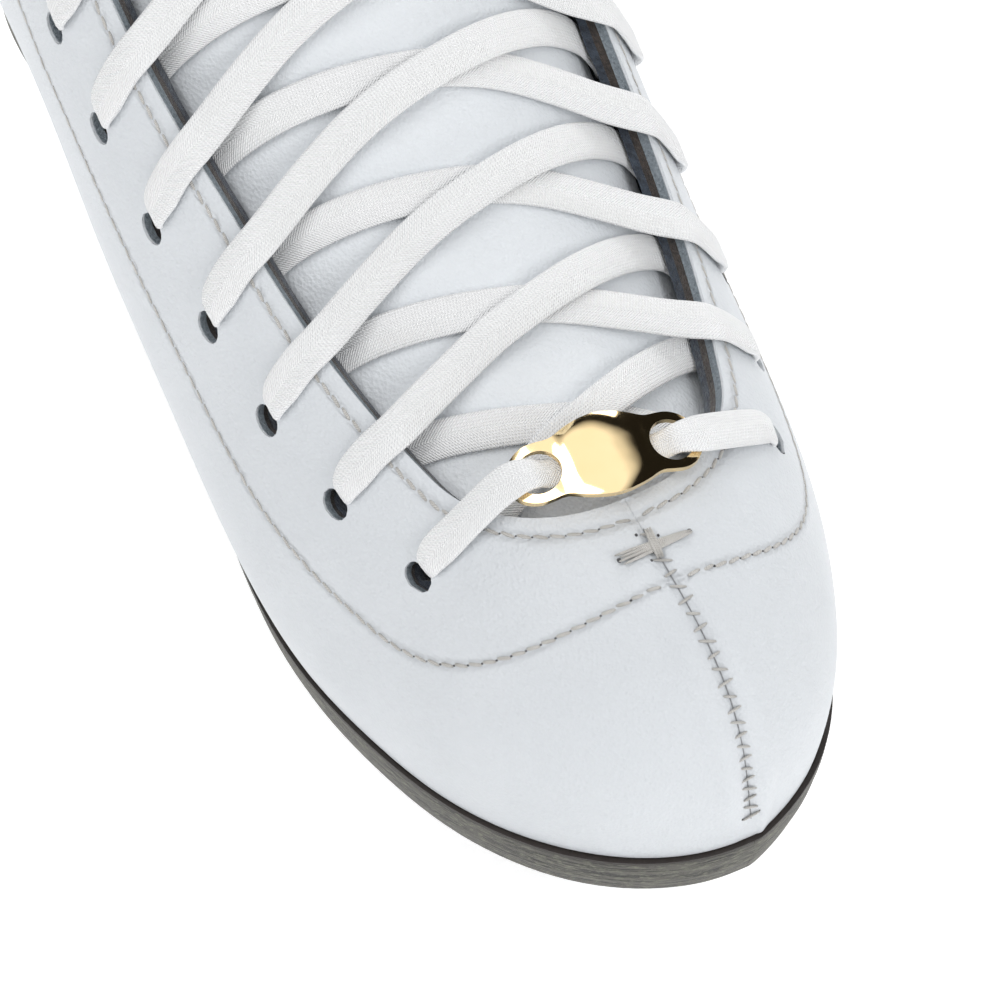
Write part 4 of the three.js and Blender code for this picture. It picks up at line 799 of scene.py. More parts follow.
# ------------------------------------------------------------------ stitching
def capsules(name, at, along, normal, half, looks, slot="cotton", round_=6, around=8):
    """Many small closed lozenges in one mesh: superellipsoids of three half sizes, each set on its own
    frame, with its distance along itself kept for the thread's twist."""
    u = np.linspace(-np.pi / 2, np.pi / 2, round_ + 1)[1:-1]
    v = np.arange(around) * 2 * np.pi / around
    body = np.stack([np.sin(u)[:, None] + 0 * v, np.cos(u)[:, None] ** 0.6 * np.cos(v),
                     np.cos(u)[:, None] ** 0.6 * np.sin(v)], -1).reshape(-1, 3)
    body = np.vstack([body, [[-1, 0, 0], [1, 0, 0]]])
    n, rows_ = len(body), round_ - 1
    ids = np.arange(rows_ * around).reshape(rows_, around)
    ahead = np.roll(ids, -1, 1)
    quads = np.stack([ids[:-1], ahead[:-1], ahead[1:], ids[1:]], -1).reshape(-1, 4)
    tris = np.vstack([np.stack([ahead[0], ids[0], np.full(around, n - 2)], -1),
                      np.stack([ids[-1], ahead[-1], np.full(around, n - 1)], -1)])
    one, two = frame_of(normal, along)
    half = np.broadcast_to(np.asarray(half, float), (len(at), 3))
    local = body[None] * half[:, None]
    points = (at[:, None] + local[..., :1] * one[:, None] + local[..., 1:2] * two[:, None]
              + local[..., 2:] * normal[:, None])
    shift = (np.arange(len(at)) * n)[:, None, None]
    faces = [(quads[None] + shift).reshape(-1, 4), (tris[None] + shift).reshape(-1, 3)]
    values = {"along_mm": local[..., 0] + 3.1 * np.arange(len(at))[:, None],
              "across_mm": np.tile(np.arctan2(body[:, 2], body[:, 1]), (len(at), 1))}
    return make(name, points.reshape(-1, 3), faces, looks, values=values, slot=slot, sharp=80)


def stitch_row(name, k, a, depth=0.0, pitch=None, tilt=0.16, flip=1):
    """A lockstitch row: one short thread a pitch, each turned a little across the line, with a dark
    needle hole between one and the next."""
    pitch = pitch or sizes().stitch_pitch * 1000
    line = np.hstack([skin(k, a, depth + 0 * k), k[:, None], a[:, None]])
    mid, _ = evenly(line, pitch)
    normal = outward(mid[:, 3], mid[:, 4])
    tangent = unit(np.gradient(mid[:, :3], axis=0))
    side = np.cross(normal, tangent)
    wobble = 0.08 * np.sin(np.arange(len(mid)) * 2.4)
    along = tangent * np.cos(tilt) + side * (np.sin(tilt) * flip + wobble[:, None] * 0.5)
    width = sizes().thread_width * 500
    threads = capsules(name, mid[:, :3] - normal * 0.02, along, normal,
                       (pitch * 0.47, width, width * 0.62), [look("thread")])
    ends = mid[:, :3] + tangent * pitch / 2
    # painted shade: a dark lozenge sunk at each needle hole between the threads
    holes = capsules(name + "_hole_shades", ends - normal * 0.16, tangent, normal, (0.34, 0.30, 0.18),
                     [look("hole")], round_=4, around=6)
    return threads, holes


def build_stitching():
    """The rows along the facings and the vamp, the backstay's rows, and the hand seam over the toe."""
    for name, side in SIDES:
        k, a = throat_row(side, 3.0, PAD_FROM - 0.15)
        keep = np.abs(a) > 0.01
        stitch_row(f"facing_row_{name}", k[keep], a[keep], relief(k[keep], a[keep], side), flip=side)
        k, a = vamp_row(side, PAD_FROM - 0.15)
        keep = np.abs(a) > 0.01
        stitch_row(f"vamp_row_{name}", k[keep], a[keep], relief(k[keep], a[keep], side), flip=side)
        k = np.linspace(HEEL_BACK + 0.3, PAD_FROM - 0.1, 120)
        stitch_row(f"backstay_row_{name}", k, side * (np.pi - 7.4 * DEG) + 0 * k, -1.5 + 0 * k)
    seam_k = np.linspace(0.42, THROAT - 0.32, 400)
    line = np.hstack([skin(seam_k, 0.001 + 0 * seam_k, -0.05 + 0 * seam_k), seam_k[:, None]])
    mid, at = evenly(line, 2.5)
    normal = outward(mid[:, 3], 0.02)
    tangent = unit(np.gradient(mid[:, :3], axis=0))
    side = np.cross(normal, tangent)
    slant = np.where(np.arange(len(mid)) % 2, 0.5, -0.12)[:, None]
    size = np.stack([1.45 + 0.25 * np.sin(at * 1.7), 0.27 + 0 * at, 0.24 + 0 * at], -1)
    capsules("toe_seam_threads", mid[:, :3] + normal * 0.14, side + tangent * slant, normal, size,
             [look("thread")])
    ends = np.vstack([mid[:, :3] + side * 1.6 + tangent * slant * 1.6, mid[:, :3] - side * 1.6
                      - tangent * slant * 1.6])
    double = np.vstack([normal, normal])
    # painted shade: dark lozenges sunk at the needle holes on both sides of the toe seam
    capsules("toe_seam_hole_shades", ends - double * 0.12, np.vstack([tangent] * 2), double, (0.28, 0.25, 0.18),
             [look("hole")], round_=4, around=6)
    fine, _ = evenly(line, 1.1)
    normal = outward(fine[:, 3], 0.02)
    # painted shadow: a dark line sunk along the toe seam
    capsules("toe_seam_line", fine[:, :3] - normal * 0.25, np.gradient(fine[:, :3], axis=0), normal,
             (0.75, 0.13, 0.2), [look("seam")], round_=4, around=6)
    build_bar_tack()


def build_bar_tack():
    """Two bundles of waxed thread that cross over the seam's upper end and stop the throat from tearing."""
    k0 = 4.06
    at, normal = skin(k0, 0.0005, -0.5), outward(k0, 0.02)
    ahead = unit(surface(k0 + 0.1, 0.0005) - surface(k0 - 0.1, 0.0005))
    across = np.cross(normal, ahead)
    if across[0] < 0:
        across = -across
    shift = np.array([-0.62, -0.2, 0.2, 0.6])
    lean = unit(across - 0.04 * ahead)
    cross = np.cross(normal, lean)
    centre = at + cross * shift[:, None] + lean * np.array([0.4, -0.2, 0.3, -0.4])[:, None]
    turn = lean + cross * np.array([0.05, 0.0, -0.03, -0.06])[:, None]
    normals = np.tile(normal, (4, 1))
    capsules("bar_tack_across", centre, turn, normals, (6.5, 0.32, 0.42), [look("thread")], round_=10)
    spot = np.array([-0.42, 0.0, 0.45])
    centre = at + lean * spot[:, None] + normal * 0.35 + ahead * 0.3
    capsules("bar_tack_along", centre, np.tile(ahead, (3, 1)) + lean * 0.1, normals[:3],
             (2.8, 0.3, 0.4), [look("thread")], round_=8)
    ends = np.vstack([at + lean * 6.4, at - lean * 6.4])
    # painted shade: dark lozenges sunk at the bar tack's two needle holes
    capsules("bar_tack_hole_shades", ends - normal * 0.1, np.tile(ahead, (2, 1)), normals[:2], (0.45, 0.4, 0.2),
             [look("hole")], round_=4, around=6)


# ------------------------------------------------------------------ laces
FLAT, GATHERED, BUNCHED = (6.6, 1.3, 0.0), (5.4, 1.45, 0.0), (3.3, 1.5, 0.0)
THROUGH = (4.7, 1.5, 0.0)
ON_EDGE = (3.0, 1.6, 1.0)
OVER = LACE_THICKNESS / 2 + 0.45
CROSS_LIFT = LACE_THICKNESS + 0.4


def lay(k, a, depth, shape=FLAT):
    return [float(k), float(a), float(depth), *shape]


def out_through_hole(i, side):
    """Out from under the facing through an eyelet, and back over the leather towards the throat."""
    k, hole = eyelet_station(i), side * eyelet_angle(i, side)
    steps = ((-0.03, 8, LACE_RUN, FLAT), (0, 4.6, LACE_RUN + 0.2, GATHERED), (0, 2.4, WALL + 0.5, BUNCHED),
             (0, 2.1, WALL - 0.9, BUNCHED), (0, 2.2, 0.9, BUNCHED), (0, 2.6, -0.5, THROUGH),
             (0.01, 4.8, -1.3, GATHERED), (0.03, 8, -OVER, FLAT))
    return [lay(k + dk, hole - side * d * DEG, depth, shape) for dk, d, depth, shape in steps]


TOUCH = math.acos((RIDGE_RADIUS - LACE_RUN) / (RIDGE_RADIUS + OVER))


def taut(away):
    """Depth of a taut lace that comes down from a facing's edge onto the tongue."""
    if away >= TOUCH:
        return LACE_RUN
    return RIDGE_RADIUS - (RIDGE_RADIUS - LACE_RUN) / math.cos(TOUCH - away)


def leg(start, end, upper):
    """A leg over the tongue between two ends, each (station, side, over the facing, from a hook)."""
    def edge(it):
        return it[1] * float(facing(it[0], it[1]))

    def end_points(it):
        k, side, over, hooked = it
        beyond = [(-2.5, -OVER - 0.6)] if hooked else [(4, -OVER), (-1.5, -OVER)]
        if not over:
            beyond = [(2, LACE_RUN)]
        return [lay(k, edge(it) + side * d * DEG, depth) for d, depth in beyond]

    a, b = edge(start), edge(end)
    across = []
    for share in (0.1, 0.24, 0.37, 0.5, 0.63, 0.76, 0.9):
        angle = a + (b - a) * share
        off = min(max((abs(share - 0.5) - 0.14) / 0.2, 0), 1)
        depths = [LACE_RUN - (CROSS_LIFT * (1 - off) if upper else 0)]
        depths += [taut(abs(angle - a))] if start[2] else []
        depths += [taut(abs(b - angle))] if end[2] else []
        across.append(lay(start[0] + (end[0] - start[0]) * share, angle, min(depths)))
    return end_points(start) + across + end_points(end)[::-1]


def hook_frame(i, side):
    """(k, a, place, normal, across, along, upward) of a hook: along follows the facing's edge."""
    k = hook_station(i)
    a = side * (float(facing(k, side)) + HOOK_FROM_EDGE)
    place, normal = surface(k, a), outward(k, a)
    spots = [surface(q, side * (float(facing(q, side)) + HOOK_FROM_EDGE)) for q in (k - 0.1, k + 0.1)]
    rise = spots[1] - spots[0]
    rise = unit(rise - rise @ normal * normal)
    across = np.cross(normal, rise)
    upward = math.copysign(1, across @ (surface(k, a + side * 0.02) - place))
    return k, a, place, normal, across * upward, rise * upward, upward


def beside_hook(i, side, across_mm, along_mm, shape=ON_EDGE):
    """A route point so far across and along a hook's frame, found with six Newton steps."""
    k, a, place, _, across, along, upward = hook_frame(i, side)
    target = place + across * across_mm + along * along_mm * upward
    step = 0.01
    for _ in range(6):
        here = surface(k, a)
        jac = np.stack([surface(k + step, a) - here, surface(k, a + step) - here], -1) / step
        basis = np.stack([across, along])
        k, a = np.array([k, a]) + np.linalg.solve(basis @ jac, basis @ (target - here))
    return lay(k, a, -3.1, shape)


def edge_beside(i, side, along_mm):
    """The station at which the facing's edge lies so far along a hook's frame."""
    k, _, place, _, _, along, upward = hook_frame(i, side)
    low, high = k - 2.5, k + 2.5
    for _ in range(20):
        middle = (low + high) / 2
        edge = surface(middle, side * float(facing(middle, side)))
        if (edge - place) @ along * upward > along_mm:
            high = middle
        else:
            low = middle
    return low


HOOK_PASS = HOOK_WIDTH / 2 + 0.6 + 0.8
HOOK_CLEAR = HOOK_PASS + 0.8


def round_hook(i, side):
    turns = ((-8, -HOOK_CLEAR, GATHERED), (-5, -HOOK_PASS, ON_EDGE), (-2, -HOOK_PASS * 0.85, ON_EDGE),
             (-0.6, 0, ON_EDGE), (-2, HOOK_PASS * 0.85, ON_EDGE), (-5, HOOK_PASS, ON_EDGE),
             (-8, HOOK_CLEAR, GATHERED))
    return [beside_hook(i, side, *turn) for turn in turns]


KNOT_K, KNOT_DEPTH, KNOT_HALF = 17.9, LACE_RUN - 4.4, (7.0, 5.0, 3.4)


def strand(first):
    """One half of the lace, from the bottom bar's hole up through the holes and hooks to the knot."""
    route, side = [], first
    for i in range(EYELETS):
        out = out_through_hole(i, side)
        route += out[::-1] if i == 0 else out
        last = i == EYELETS - 1
        ahead = edge_beside(0, -side, -HOOK_CLEAR) if last else eyelet_station(i + 1) - 0.03
        route += leg((eyelet_station(i) + 0.05, side, i > 0, False), (ahead, -side, last, last),
                     side == LATERAL)
        side = -side
    for i in range(HOOKS):
        route += round_hook(i, side)
        start = (edge_beside(i, side, HOOK_CLEAR), side, True, True)
        if i == HOOKS - 1:
            route += leg(start, (KNOT_K, -side, True, True), False)[:3]
            route += [lay(KNOT_K - 0.1, side * 17 * DEG, LACE_RUN - 1.2),
                      lay(KNOT_K, side * 11.5 * DEG, KNOT_DEPTH + 2.1, GATHERED)]
            break
        route += leg(start, (edge_beside(i + 1, -side, -HOOK_CLEAR), -side, True, True),
                     side == LATERAL)
        side = -side
    return route


def follow(route, per):
    """(places, width directions, widths, thicknesses) along a route laid out in unrolled millimetres."""
    route = np.array(route)
    path = smooth_path(route[:, :3] * (STATION, RIDGE_RADIUS, 1), per)
    t = np.linspace(0, len(route) - 1, len(path))
    wide_mm, thick, twist = (np.interp(t, np.arange(len(route)), c) for c in route[:, 3:].T)
    k, a, depth = path[:, 0] / STATION, path[:, 1] / RIDGE_RADIUS, path[:, 2]
    along = unit(skin(k + 0.02, a, depth) - skin(k - 0.02, a, depth))
    turn = (twist * np.pi / 2)[:, None]
    return skin(k, a, depth), along * np.cos(turn) + outward(k, a) * np.sin(turn), wide_mm, thick


def even_out(places, wide, wide_mm, thick, pitch):
    """The same path at an even pitch, with its width direction kept from flipping and smoothed."""
    tangent = unit(np.gradient(places, axis=0))
    wide = unit(wide - np.sum(wide * tangent, -1, keepdims=True) * tangent)
    flips = np.sign(np.sum(wide[1:] * wide[:-1], -1))
    wide = wide * np.cumprod(np.concatenate([[1], np.where(flips == 0, 1, flips)]))[:, None]
    table = np.hstack([places, wide, wide_mm[:, None], thick[:, None]])
    s = arc(places)
    at = np.linspace(0, s[-1], max(int(s[-1] / pitch), 8))
    table = np.stack([np.interp(at, s, c) for c in table.T], -1)
    for _ in range(2):
        table[1:-1] = (table[:-2] + 2 * table[1:-1] + table[2:]) / 4
    return table, at


def braid(name, table, at, around=18, **more):
    """A flat lace: a superellipse section, flatter than round, carried along the path; the distances
    along and across it are kept for the weave."""
    places, wide = table[:, :3], table[:, 3:6]
    tangent = unit(np.gradient(places, axis=0))
    wide = unit(wide - np.sum(wide * tangent, -1, keepdims=True) * tangent)
    up = np.cross(tangent, wide)
    v = (np.arange(around) + 0.5) * 2 * np.pi / around
    a = np.sign(np.cos(v)) * np.abs(np.cos(v)) ** 0.55
    b = np.sign(np.sin(v)) * np.abs(np.sin(v)) ** 0.75
    across = a[None] * table[:, 6:7] / 2
    rings = (places[:, None] + across[..., None] * wide[:, None]
             + (b[None] * table[:, 7:8] / 2)[..., None] * up[:, None])
    points, faces = ring_mesh(rings)
    ends = [0.0, 0.0]
    values = {"along_mm": np.concatenate([np.repeat(at, around), [at[0], at[-1]]]),
              "across_mm": np.concatenate([across.ravel(), ends])}
    return make(name, points, faces, [look("lace")], values=values, slot="cotton", sharp=75, **more)


def tag_frame():
    """(centre, long, wide, normal) of the lace tag, turned eight degrees from the bar's direction."""
    normal = outward(4.93, 0.0)
    ends = [skin(5.0, side * eyelet_angle(0, side), -OVER) for _, side in SIDES]
    long_ = ends[1] - ends[0]
    long_ = unit(long_ - long_ @ normal * normal)
    turn = -8 * DEG
    long_ = long_ * math.cos(turn) + np.cross(normal, long_) * math.sin(turn)
    return skin(4.93, 0.0, -3.1), long_, np.cross(normal, long_), normal


TAG = {"length": 33.0, "width": 14.5, "thick": 1.2, "hole": 7.4, "rim": 1.5, "bend": 42.0}
TAG_HOLE_AT = TAG["length"] / 2 - TAG["hole"] / 2 - TAG["rim"]


def bar_path():
    """The bottom bar between the first holes: over each rim of the tag, down through and beneath it."""
    centre, long_, wide, normal = tag_frame()
    lift = 1.8

    def on_tag(x, height):
        return centre + long_ * x + normal * (height - x * x / (2 * TAG["bend"]))

    def shoulder(side, k, d, height):
        return skin(k, side * (eyelet_angle(0, side) - d * DEG), -height)

    rim, hole = TAG["length"] / 2, TAG_HOLE_AT
    places = [shoulder(LATERAL, 5.03, 8, OVER), on_tag(-rim + 0.6, lift), on_tag(-hole - 0.6, 1),
              on_tag(-hole + 0.8, -0.9), on_tag(-hole + 3.2, -lift), on_tag(0, -lift),
              on_tag(hole - 3.2, -lift), on_tag(hole - 0.8, -0.9), on_tag(hole + 0.6, 1),
              on_tag(rim - 0.6, lift), shoulder(MEDIAL, 5.03, 8, OVER)]
    path = smooth_path(places, 10)[3:-3]
    t = np.linspace(0, 10, len(path))
    inside = np.clip((t - 0.7) / 1.2, 0, 1) * np.clip((9.3 - t) / 1.2, 0, 1)
    return path, np.tile(wide, (len(path), 1)), 6.6 + (4.9 - 6.6) * inside, LACE_THICKNESS + 0 * t


def build_lace():
    """The taut lace in one piece: both halves joined by the bottom bar, then the knot it ends in."""
    left, middle, right = follow(strand(LATERAL), 6), bar_path(), follow(strand(MEDIAL), 6)
    joined = [np.concatenate([a[::-1][:-1], b, c[1:]]) for a, b, c in zip(left, middle, right)]
    table, at = even_out(*joined, 0.9)
    braid("lace_braid", table, at, around=14, replaces=("lace",))
    normal = outward(KNOT_K, 0.0)
    side = np.array([1.0, 0, 0])
    up = np.cross(normal, side)
    u, v = np.meshgrid(np.linspace(0, np.pi, 49), np.arange(64) * 2 * np.pi / 64, indexing="ij")
    lobes = 1 - 0.16 * np.exp(-((np.cos(u) / 0.12 - 3.2) ** 2)) - 0.16 * np.exp(
        -((np.cos(u) / 0.12 + 3.2) ** 2)) - 0.05 * np.cos(6 * v)
    x, y, z = (np.cos(u) * KNOT_HALF[0], np.sin(u) ** 0.8 * np.cos(v) * KNOT_HALF[1] * lobes,
               np.sin(u) ** 0.8 * np.sin(v) * KNOT_HALF[2] * lobes)
    centre = skin(KNOT_K, 0.0, KNOT_DEPTH)
    rings = centre + x[..., None] * side + y[..., None] * up + z[..., None] * normal
    points, faces = ring_mesh(rings[1:-1])
    spin = np.concatenate([(v[1:-1] * 4).ravel(), [0, 0]])
    length = np.concatenate([x[1:-1].ravel(), [0, 0]])
    make("lace_knot_wrap", points, faces, [look("lace")], replaces=("lace_knot",), slot="cotton",
         values={"along_mm": spin, "across_mm": length}, sharp=80)


LOOP = ((18.15, 11, KNOT_DEPTH - 1.4, GATHERED), (18.25, 17, -1.5, FLAT), (17.8, 27, -5.5, FLAT),
        (16.9, 38, -9.2, FLAT), (15.7, 46, -10.4, FLAT), (14.8, 47, -10.6, FLAT), (14.4, 41, -10.2, FLAT),
        (14.9, 32, -8, FLAT), (15.9, 23.5, -5, FLAT), (16.8, 17, -1.4, FLAT),
        (17.45, 12.2, KNOT_DEPTH - 0.8, GATHERED))
TAIL = ((17.2, 4.8, KNOT_DEPTH + 0.4, GATHERED), (16.7, 5.7, 0.5, FLAT), (15.7, 7.5, -2.6, FLAT),
        (14.7, 9, -4.2, FLAT), (13.7, 10.2, -5, FLAT), (12.9, 11, -5.4, FLAT))


def free_lace(name, side, points, node):
    """A free stretch of the bow, declared with its own length."""
    route = [lay(k, side * d * DEG, depth, shape) for k, d, depth, shape in points]
    table, at = even_out(*follow(route, 10), 0.9)
    thing = braid(name, table, at, replaces=(node,))
    line = to_row(table[:, :3])
    float(arc(line)[-1])
    return table


def build_bow():
    """Two loops and two tipped ends of the bow above the laced part."""
    for name, side in SIDES:
        free_lace(f"bow_loop_{name}", side, LOOP, f"lace_loop_{name}")
        route = [lay(k, side * d * DEG, depth, shape) for k, d, depth, shape in TAIL]
        table, _ = even_out(*follow(route, 10), 0.9)
        end = table[-1, :3]
        down = unit(end - table[-4, :3])
        s = np.array([0.3, 0.5, 0.9, 2.0, 6.0, 12.0, 18.0, 19.2, 19.8, 20.0])
        r = np.array([0.7, 1.0, 1.2, 1.3, 1.24, 1.24, 1.28, 1.22, 0.9, 0.5])
        one, two = frame_of(down, np.array([1.0, 0, 0]))
        v = np.arange(24) * 2 * np.pi / 24
        rings = (end + s[:, None, None] * down + r[:, None, None]
                 * (np.cos(v)[None, :, None] * one + np.sin(v)[None, :, None] * two))
        points, faces = ring_mesh(rings)
        tip = make(f"lace_tip_{name}", points, faces, [look("tip")], replaces=(f"aglet_{name}",),
                   slot="clear_tip", sharp=60)
        free_lace(f"bow_end_{name}", side, TAIL, f"lace_tail_{name}")


def build_tag():
    """The gilt tag: width follows a raised cosine into round ends, each with a hole, bent along its length
    and slightly domed. Its rim is left thick and rounded."""
    half, ring = TAG["length"] / 2, TAG["hole"] / 2 + TAG["rim"]
    x = half * np.sin(np.linspace(-np.pi / 2, np.pi / 2, 150))
    x = np.unique(np.concatenate([x, np.linspace(-half + 0.4, half - 0.4, 110)]))
    v = np.linspace(-1, 1, 61)
    away = np.abs(x)
    cosine = 0.5 + 0.5 * np.cos(np.pi * np.minimum(away, 9.4) / 9.4)
    body = ring + (TAG["width"] / 2 - ring) * cosine ** 0.8
    waist = -0.3 * np.exp(-((away - 7.8) / 1.6) ** 2)
    tip = np.sqrt(np.maximum(ring**2 - (np.maximum(away, TAG_HOLE_AT) - TAG_HOLE_AT) ** 2, 0))
    w = np.where(away > TAG_HOLE_AT, tip, body + waist)
    px, py = np.repeat(x[:, None], v.size, 1), w[:, None] * v[None]
    keep = np.ones((x.size - 1, v.size - 1), bool)
    for centre in (-TAG_HOLE_AT, TAG_HOLE_AT):
        dx, dy = px - centre, py
        r = np.hypot(dx, dy) / (TAG["hole"] / 2)
        middle = (r[:-1, :-1] + r[1:, :-1] + r[1:, 1:] + r[:-1, 1:]) / 4
        kept = middle > 0.82
        gone = np.pad(~kept, 1)
        touched = gone[:-1, :-1] | gone[1:, :-1] | gone[1:, 1:] | gone[:-1, 1:]
        reach = (ring - 0.12) / (TAG["hole"] / 2)
        pushed = 1.03 + (np.maximum(r, 0.8) - 0.8) * (reach - 1.03) / (reach - 0.8)
        new = np.where(touched, 1.0, np.where(r < reach, pushed, r)) / np.maximum(r, 1e-6)
        new = np.where(r < reach, new, 1.0)
        px, py = centre + dx * new, dy * new
        keep &= kept
    rim = 1 - np.clip(np.abs(py) / np.maximum(w[:, None], 1e-3), 0, 1) ** 3.2
    t = np.clip((8.6 - np.abs(px)) / 3.4, 0, 1)
    dome = rim * (0.15 + 0.75 * t * t * (3 - 2 * t))
    sag = px**2 / (2 * TAG["bend"])
    centre, long_, wide, normal = tag_frame()

    def place(height):
        return centre + px[..., None] * long_ + py[..., None] * wide + (height - sag)[..., None] * normal

    shell("gilt_tag", place(TAG["thick"] / 2 + dome * 0.6), place(-TAG["thick"] / 2 + dome * 0.6),
          [look("gold")], keep, bevel=0.42, segments=4, body="tag", replaces=("lace_tag",), slot="gold",
          sharp=60)


def build_hooks():
    """Lace hooks: a strip with round edges curled into a C, and the domed head of its rivet."""
    profile = smooth_path(np.array([[4.0, 1.0], [1.0, 1.0], [-2.6, 1.05], [-4.3, 1.9], [-4.75, 3.4],
                                    [-4.0, 4.8], [-2.2, 5.3], [1.6, 5.6], [4.4, 6.2]]), 6)
    tangent = unit(np.gradient(profile, axis=0))
    side2 = np.stack([-tangent[:, 1], tangent[:, 0]], -1)
    s = np.linspace(0, 1, len(profile))
    wide = HOOK_WIDTH / 2 * np.minimum(1, np.minimum((s / 0.06) ** 0.5, ((1 - s) / 0.10) ** 0.5) + 0.02)
    v = (np.arange(16) + 0.5) * 2 * np.pi / 16
    a = np.sign(np.cos(v)) * np.abs(np.cos(v)) ** 0.4
    b = np.sign(np.sin(v)) * np.abs(np.sin(v)) ** 0.6
    for name, side in SIDES:
        for i in range(HOOKS):
            _, _, place, normal, across, along, _ = hook_frame(i, side)
            flat = profile[:, None] + side2[:, None] * (b * 0.42)[None, :, None]
            rings = (place + flat[..., :1] * across + flat[..., 1:] * normal
                     + (a[None] * wide[:, None])[..., None] * along)
            points, faces = ring_mesh(rings)
            heads = []
            for low, r, h in ((1.35, 1.9, 0.55), (-WALL - 0.6, 2.6, -0.8)):
                u = np.linspace(0, np.pi / 2, 7)
                w = np.arange(20) * 2 * np.pi / 20
                cap = (place + (low + h * np.sin(u))[:, None, None] * normal
                       + (r * np.cos(u))[:, None, None] * (np.cos(w)[None, :, None] * across
                                                           + np.sin(w)[None, :, None] * along))
                heads.append(ring_mesh(cap[:-1]))
            round_shank = 1.2 * (np.cos(w)[:, None] * across + np.sin(w)[:, None] * along)
            shaft = np.stack([place + h * normal + round_shank for h in (-WALL - 0.7, 1.5)])
            heads.append(ring_mesh(shaft))
            for more_points, more_faces in heads:
                faces = faces + [f + len(points) for f in more_faces]
                points = np.vstack([points, more_points])
            make(f"lace_hook_{name}_{i + 1}", points, faces, [look("plate")],
                 replaces=(f"hook_{name}_{i + 1}",), slot="steel", sharp=50)


# ------------------------------------------------------------------ sole and heel
def sole_edge(k, side, out, drop):
    """The sole's outline at a station: the feather line moved out along its own normal and down."""
    def line(q):
        r = row(q)
        return np.stack([r[..., 2] - BLADE_LINE_X + side * r[..., 5 if side < 0 else 6]
                         * np.clip(r[..., 7], 0, 1), ORIGIN_S - r[..., 3]], -1)
    p = line(k)
    run = unit(line(np.minimum(k + 0.02, HEEL_BACK)) - line(np.maximum(k - 0.02, 0)))
    n = np.stack([run[..., 1], -run[..., 0]], -1) * (1 if side > 0 else -1)
    n = np.where((k < 0.02)[..., None], [0.0, -1.0], n)
    n = np.where((k > HEEL_BACK - 0.02)[..., None], [0.0, 1.0], n)
    z = np.minimum(row(k)[..., 4] + BALL_Z, BALL_Z + HEEL_RISE + 0.5) - drop
    return np.concatenate([p + n * np.asarray(out)[..., None], z[..., None]], -1)


def sole_grid(k, out, drop, columns=13):
    t = (0.5 - 0.5 * np.cos(np.linspace(0, np.pi, columns)))[None, :, None]
    left, right = (sole_edge(k, side, out + 0 * k, drop)[:, None] for side in (LATERAL, MEDIAL))
    return left + (right - left) * t


def build_sole():
    """Welt, midsole and outsole, pressed together and trimmed to one slanting burnished edge."""
    k = np.unique(np.concatenate([[0, 0.02, 0.06, 0.12, 0.2, 0.3, 0.4, 0.5, 0.62, 0.75, 0.9],
                                  np.arange(1.05, 14, 0.16), np.arange(14, HEEL_BACK, 0.07), [HEEL_BACK]]))
    layers = (("welt", WELT_TOP, WELT + 0.25, 0.8, 0.45),
              ("midsole", MIDSOLE_TOP, MIDSOLE + 0.25, 0.4, -0.4),
              ("outsole", OUTSOLE_TOP, OUTSOLE, -0.45, -1.7))
    for name, top, thick, out_top, out_bottom in layers:
        upper, under = sole_grid(k, out_top, top), sole_grid(k, out_bottom, top + thick)
        shell(f"{name}_leather", upper, under, [look("sole")], depths=(name == "welt", 0), bevel=0.35,
              replaces=(name,), slot="sole_leather", sharp=50)
    height = HEEL_TOP - HEEL_BOTTOM
    lift = (height - TOP_PIECE - HEEL_LIFTS * 0.3) / HEEL_LIFTS
    k = np.linspace(12.0, HEEL_BACK, 60)
    under_sole = row(k)[:, 4] + BALL_Z - OUTSOLE_TOP - OUTSOLE - 0.05

    def slice_(z, most=None):
        drop = (HEEL_TOP - z) / height
        front = ORIGIN_S - (62 - 7 * max(drop, 0) ** 1.5)
        grid = sole_grid(k, -(1.8 + 3.2 * drop), 0.0, 11)
        grid[..., 1] = np.maximum(grid[..., 1], front)
        grid[..., 2] = z if most is None else np.minimum(z, most)[:, None]
        return grid

    for i in range(HEEL_LIFTS + 1):
        last = i == HEEL_LIFTS
        top = HEEL_BOTTOM + TOP_PIECE if last else HEEL_TOP - i * (lift + 0.3)
        bottom = HEEL_BOTTOM if last else top - lift - 0.22
        node = "heel_top_piece" if last else f"heel_lift_{i + 1}"
        upper = slice_(top, under_sole if i == 0 else None)
        shell(f"{node}_leather", upper, slice_(bottom), [look("sole")],
              depths=(0, 0), bevel=0.3, replaces=(node,),
              slot="sole_leather", sharp=50)


# ------------------------------------------------------------------ blade
# Screws as (distance forward of the heel's back, place across from the blade's line).
SOLE_SCREWS = ((228, -13), (228, 13), (206, -17), (206, 17), (180, -15), (180, 15))
HEEL_SCREWS = ((44, -14), (44, 14), (18, -12), (18, 12))


def refined(node, finish_name, bevel):
    """A copy of a CAD node with its doubles merged, flat faces joined and edges rounded, in its place."""
    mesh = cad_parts[node].data.copy()
    mesh.materials.clear()
    b = bmesh.new()
    b.from_mesh(mesh)
    bmesh.ops.remove_doubles(b, verts=b.verts, dist=1e-5)
    bmesh.ops.dissolve_limit(b, angle_limit=0.6 * DEG, verts=b.verts, edges=b.edges)
    b.to_mesh(mesh)
    b.free()
    mesh.name = node + "_ground"
    return finish(node + "_ground", mesh, [look(finish_name)], bevel, "skate", (node,), 32, 3)


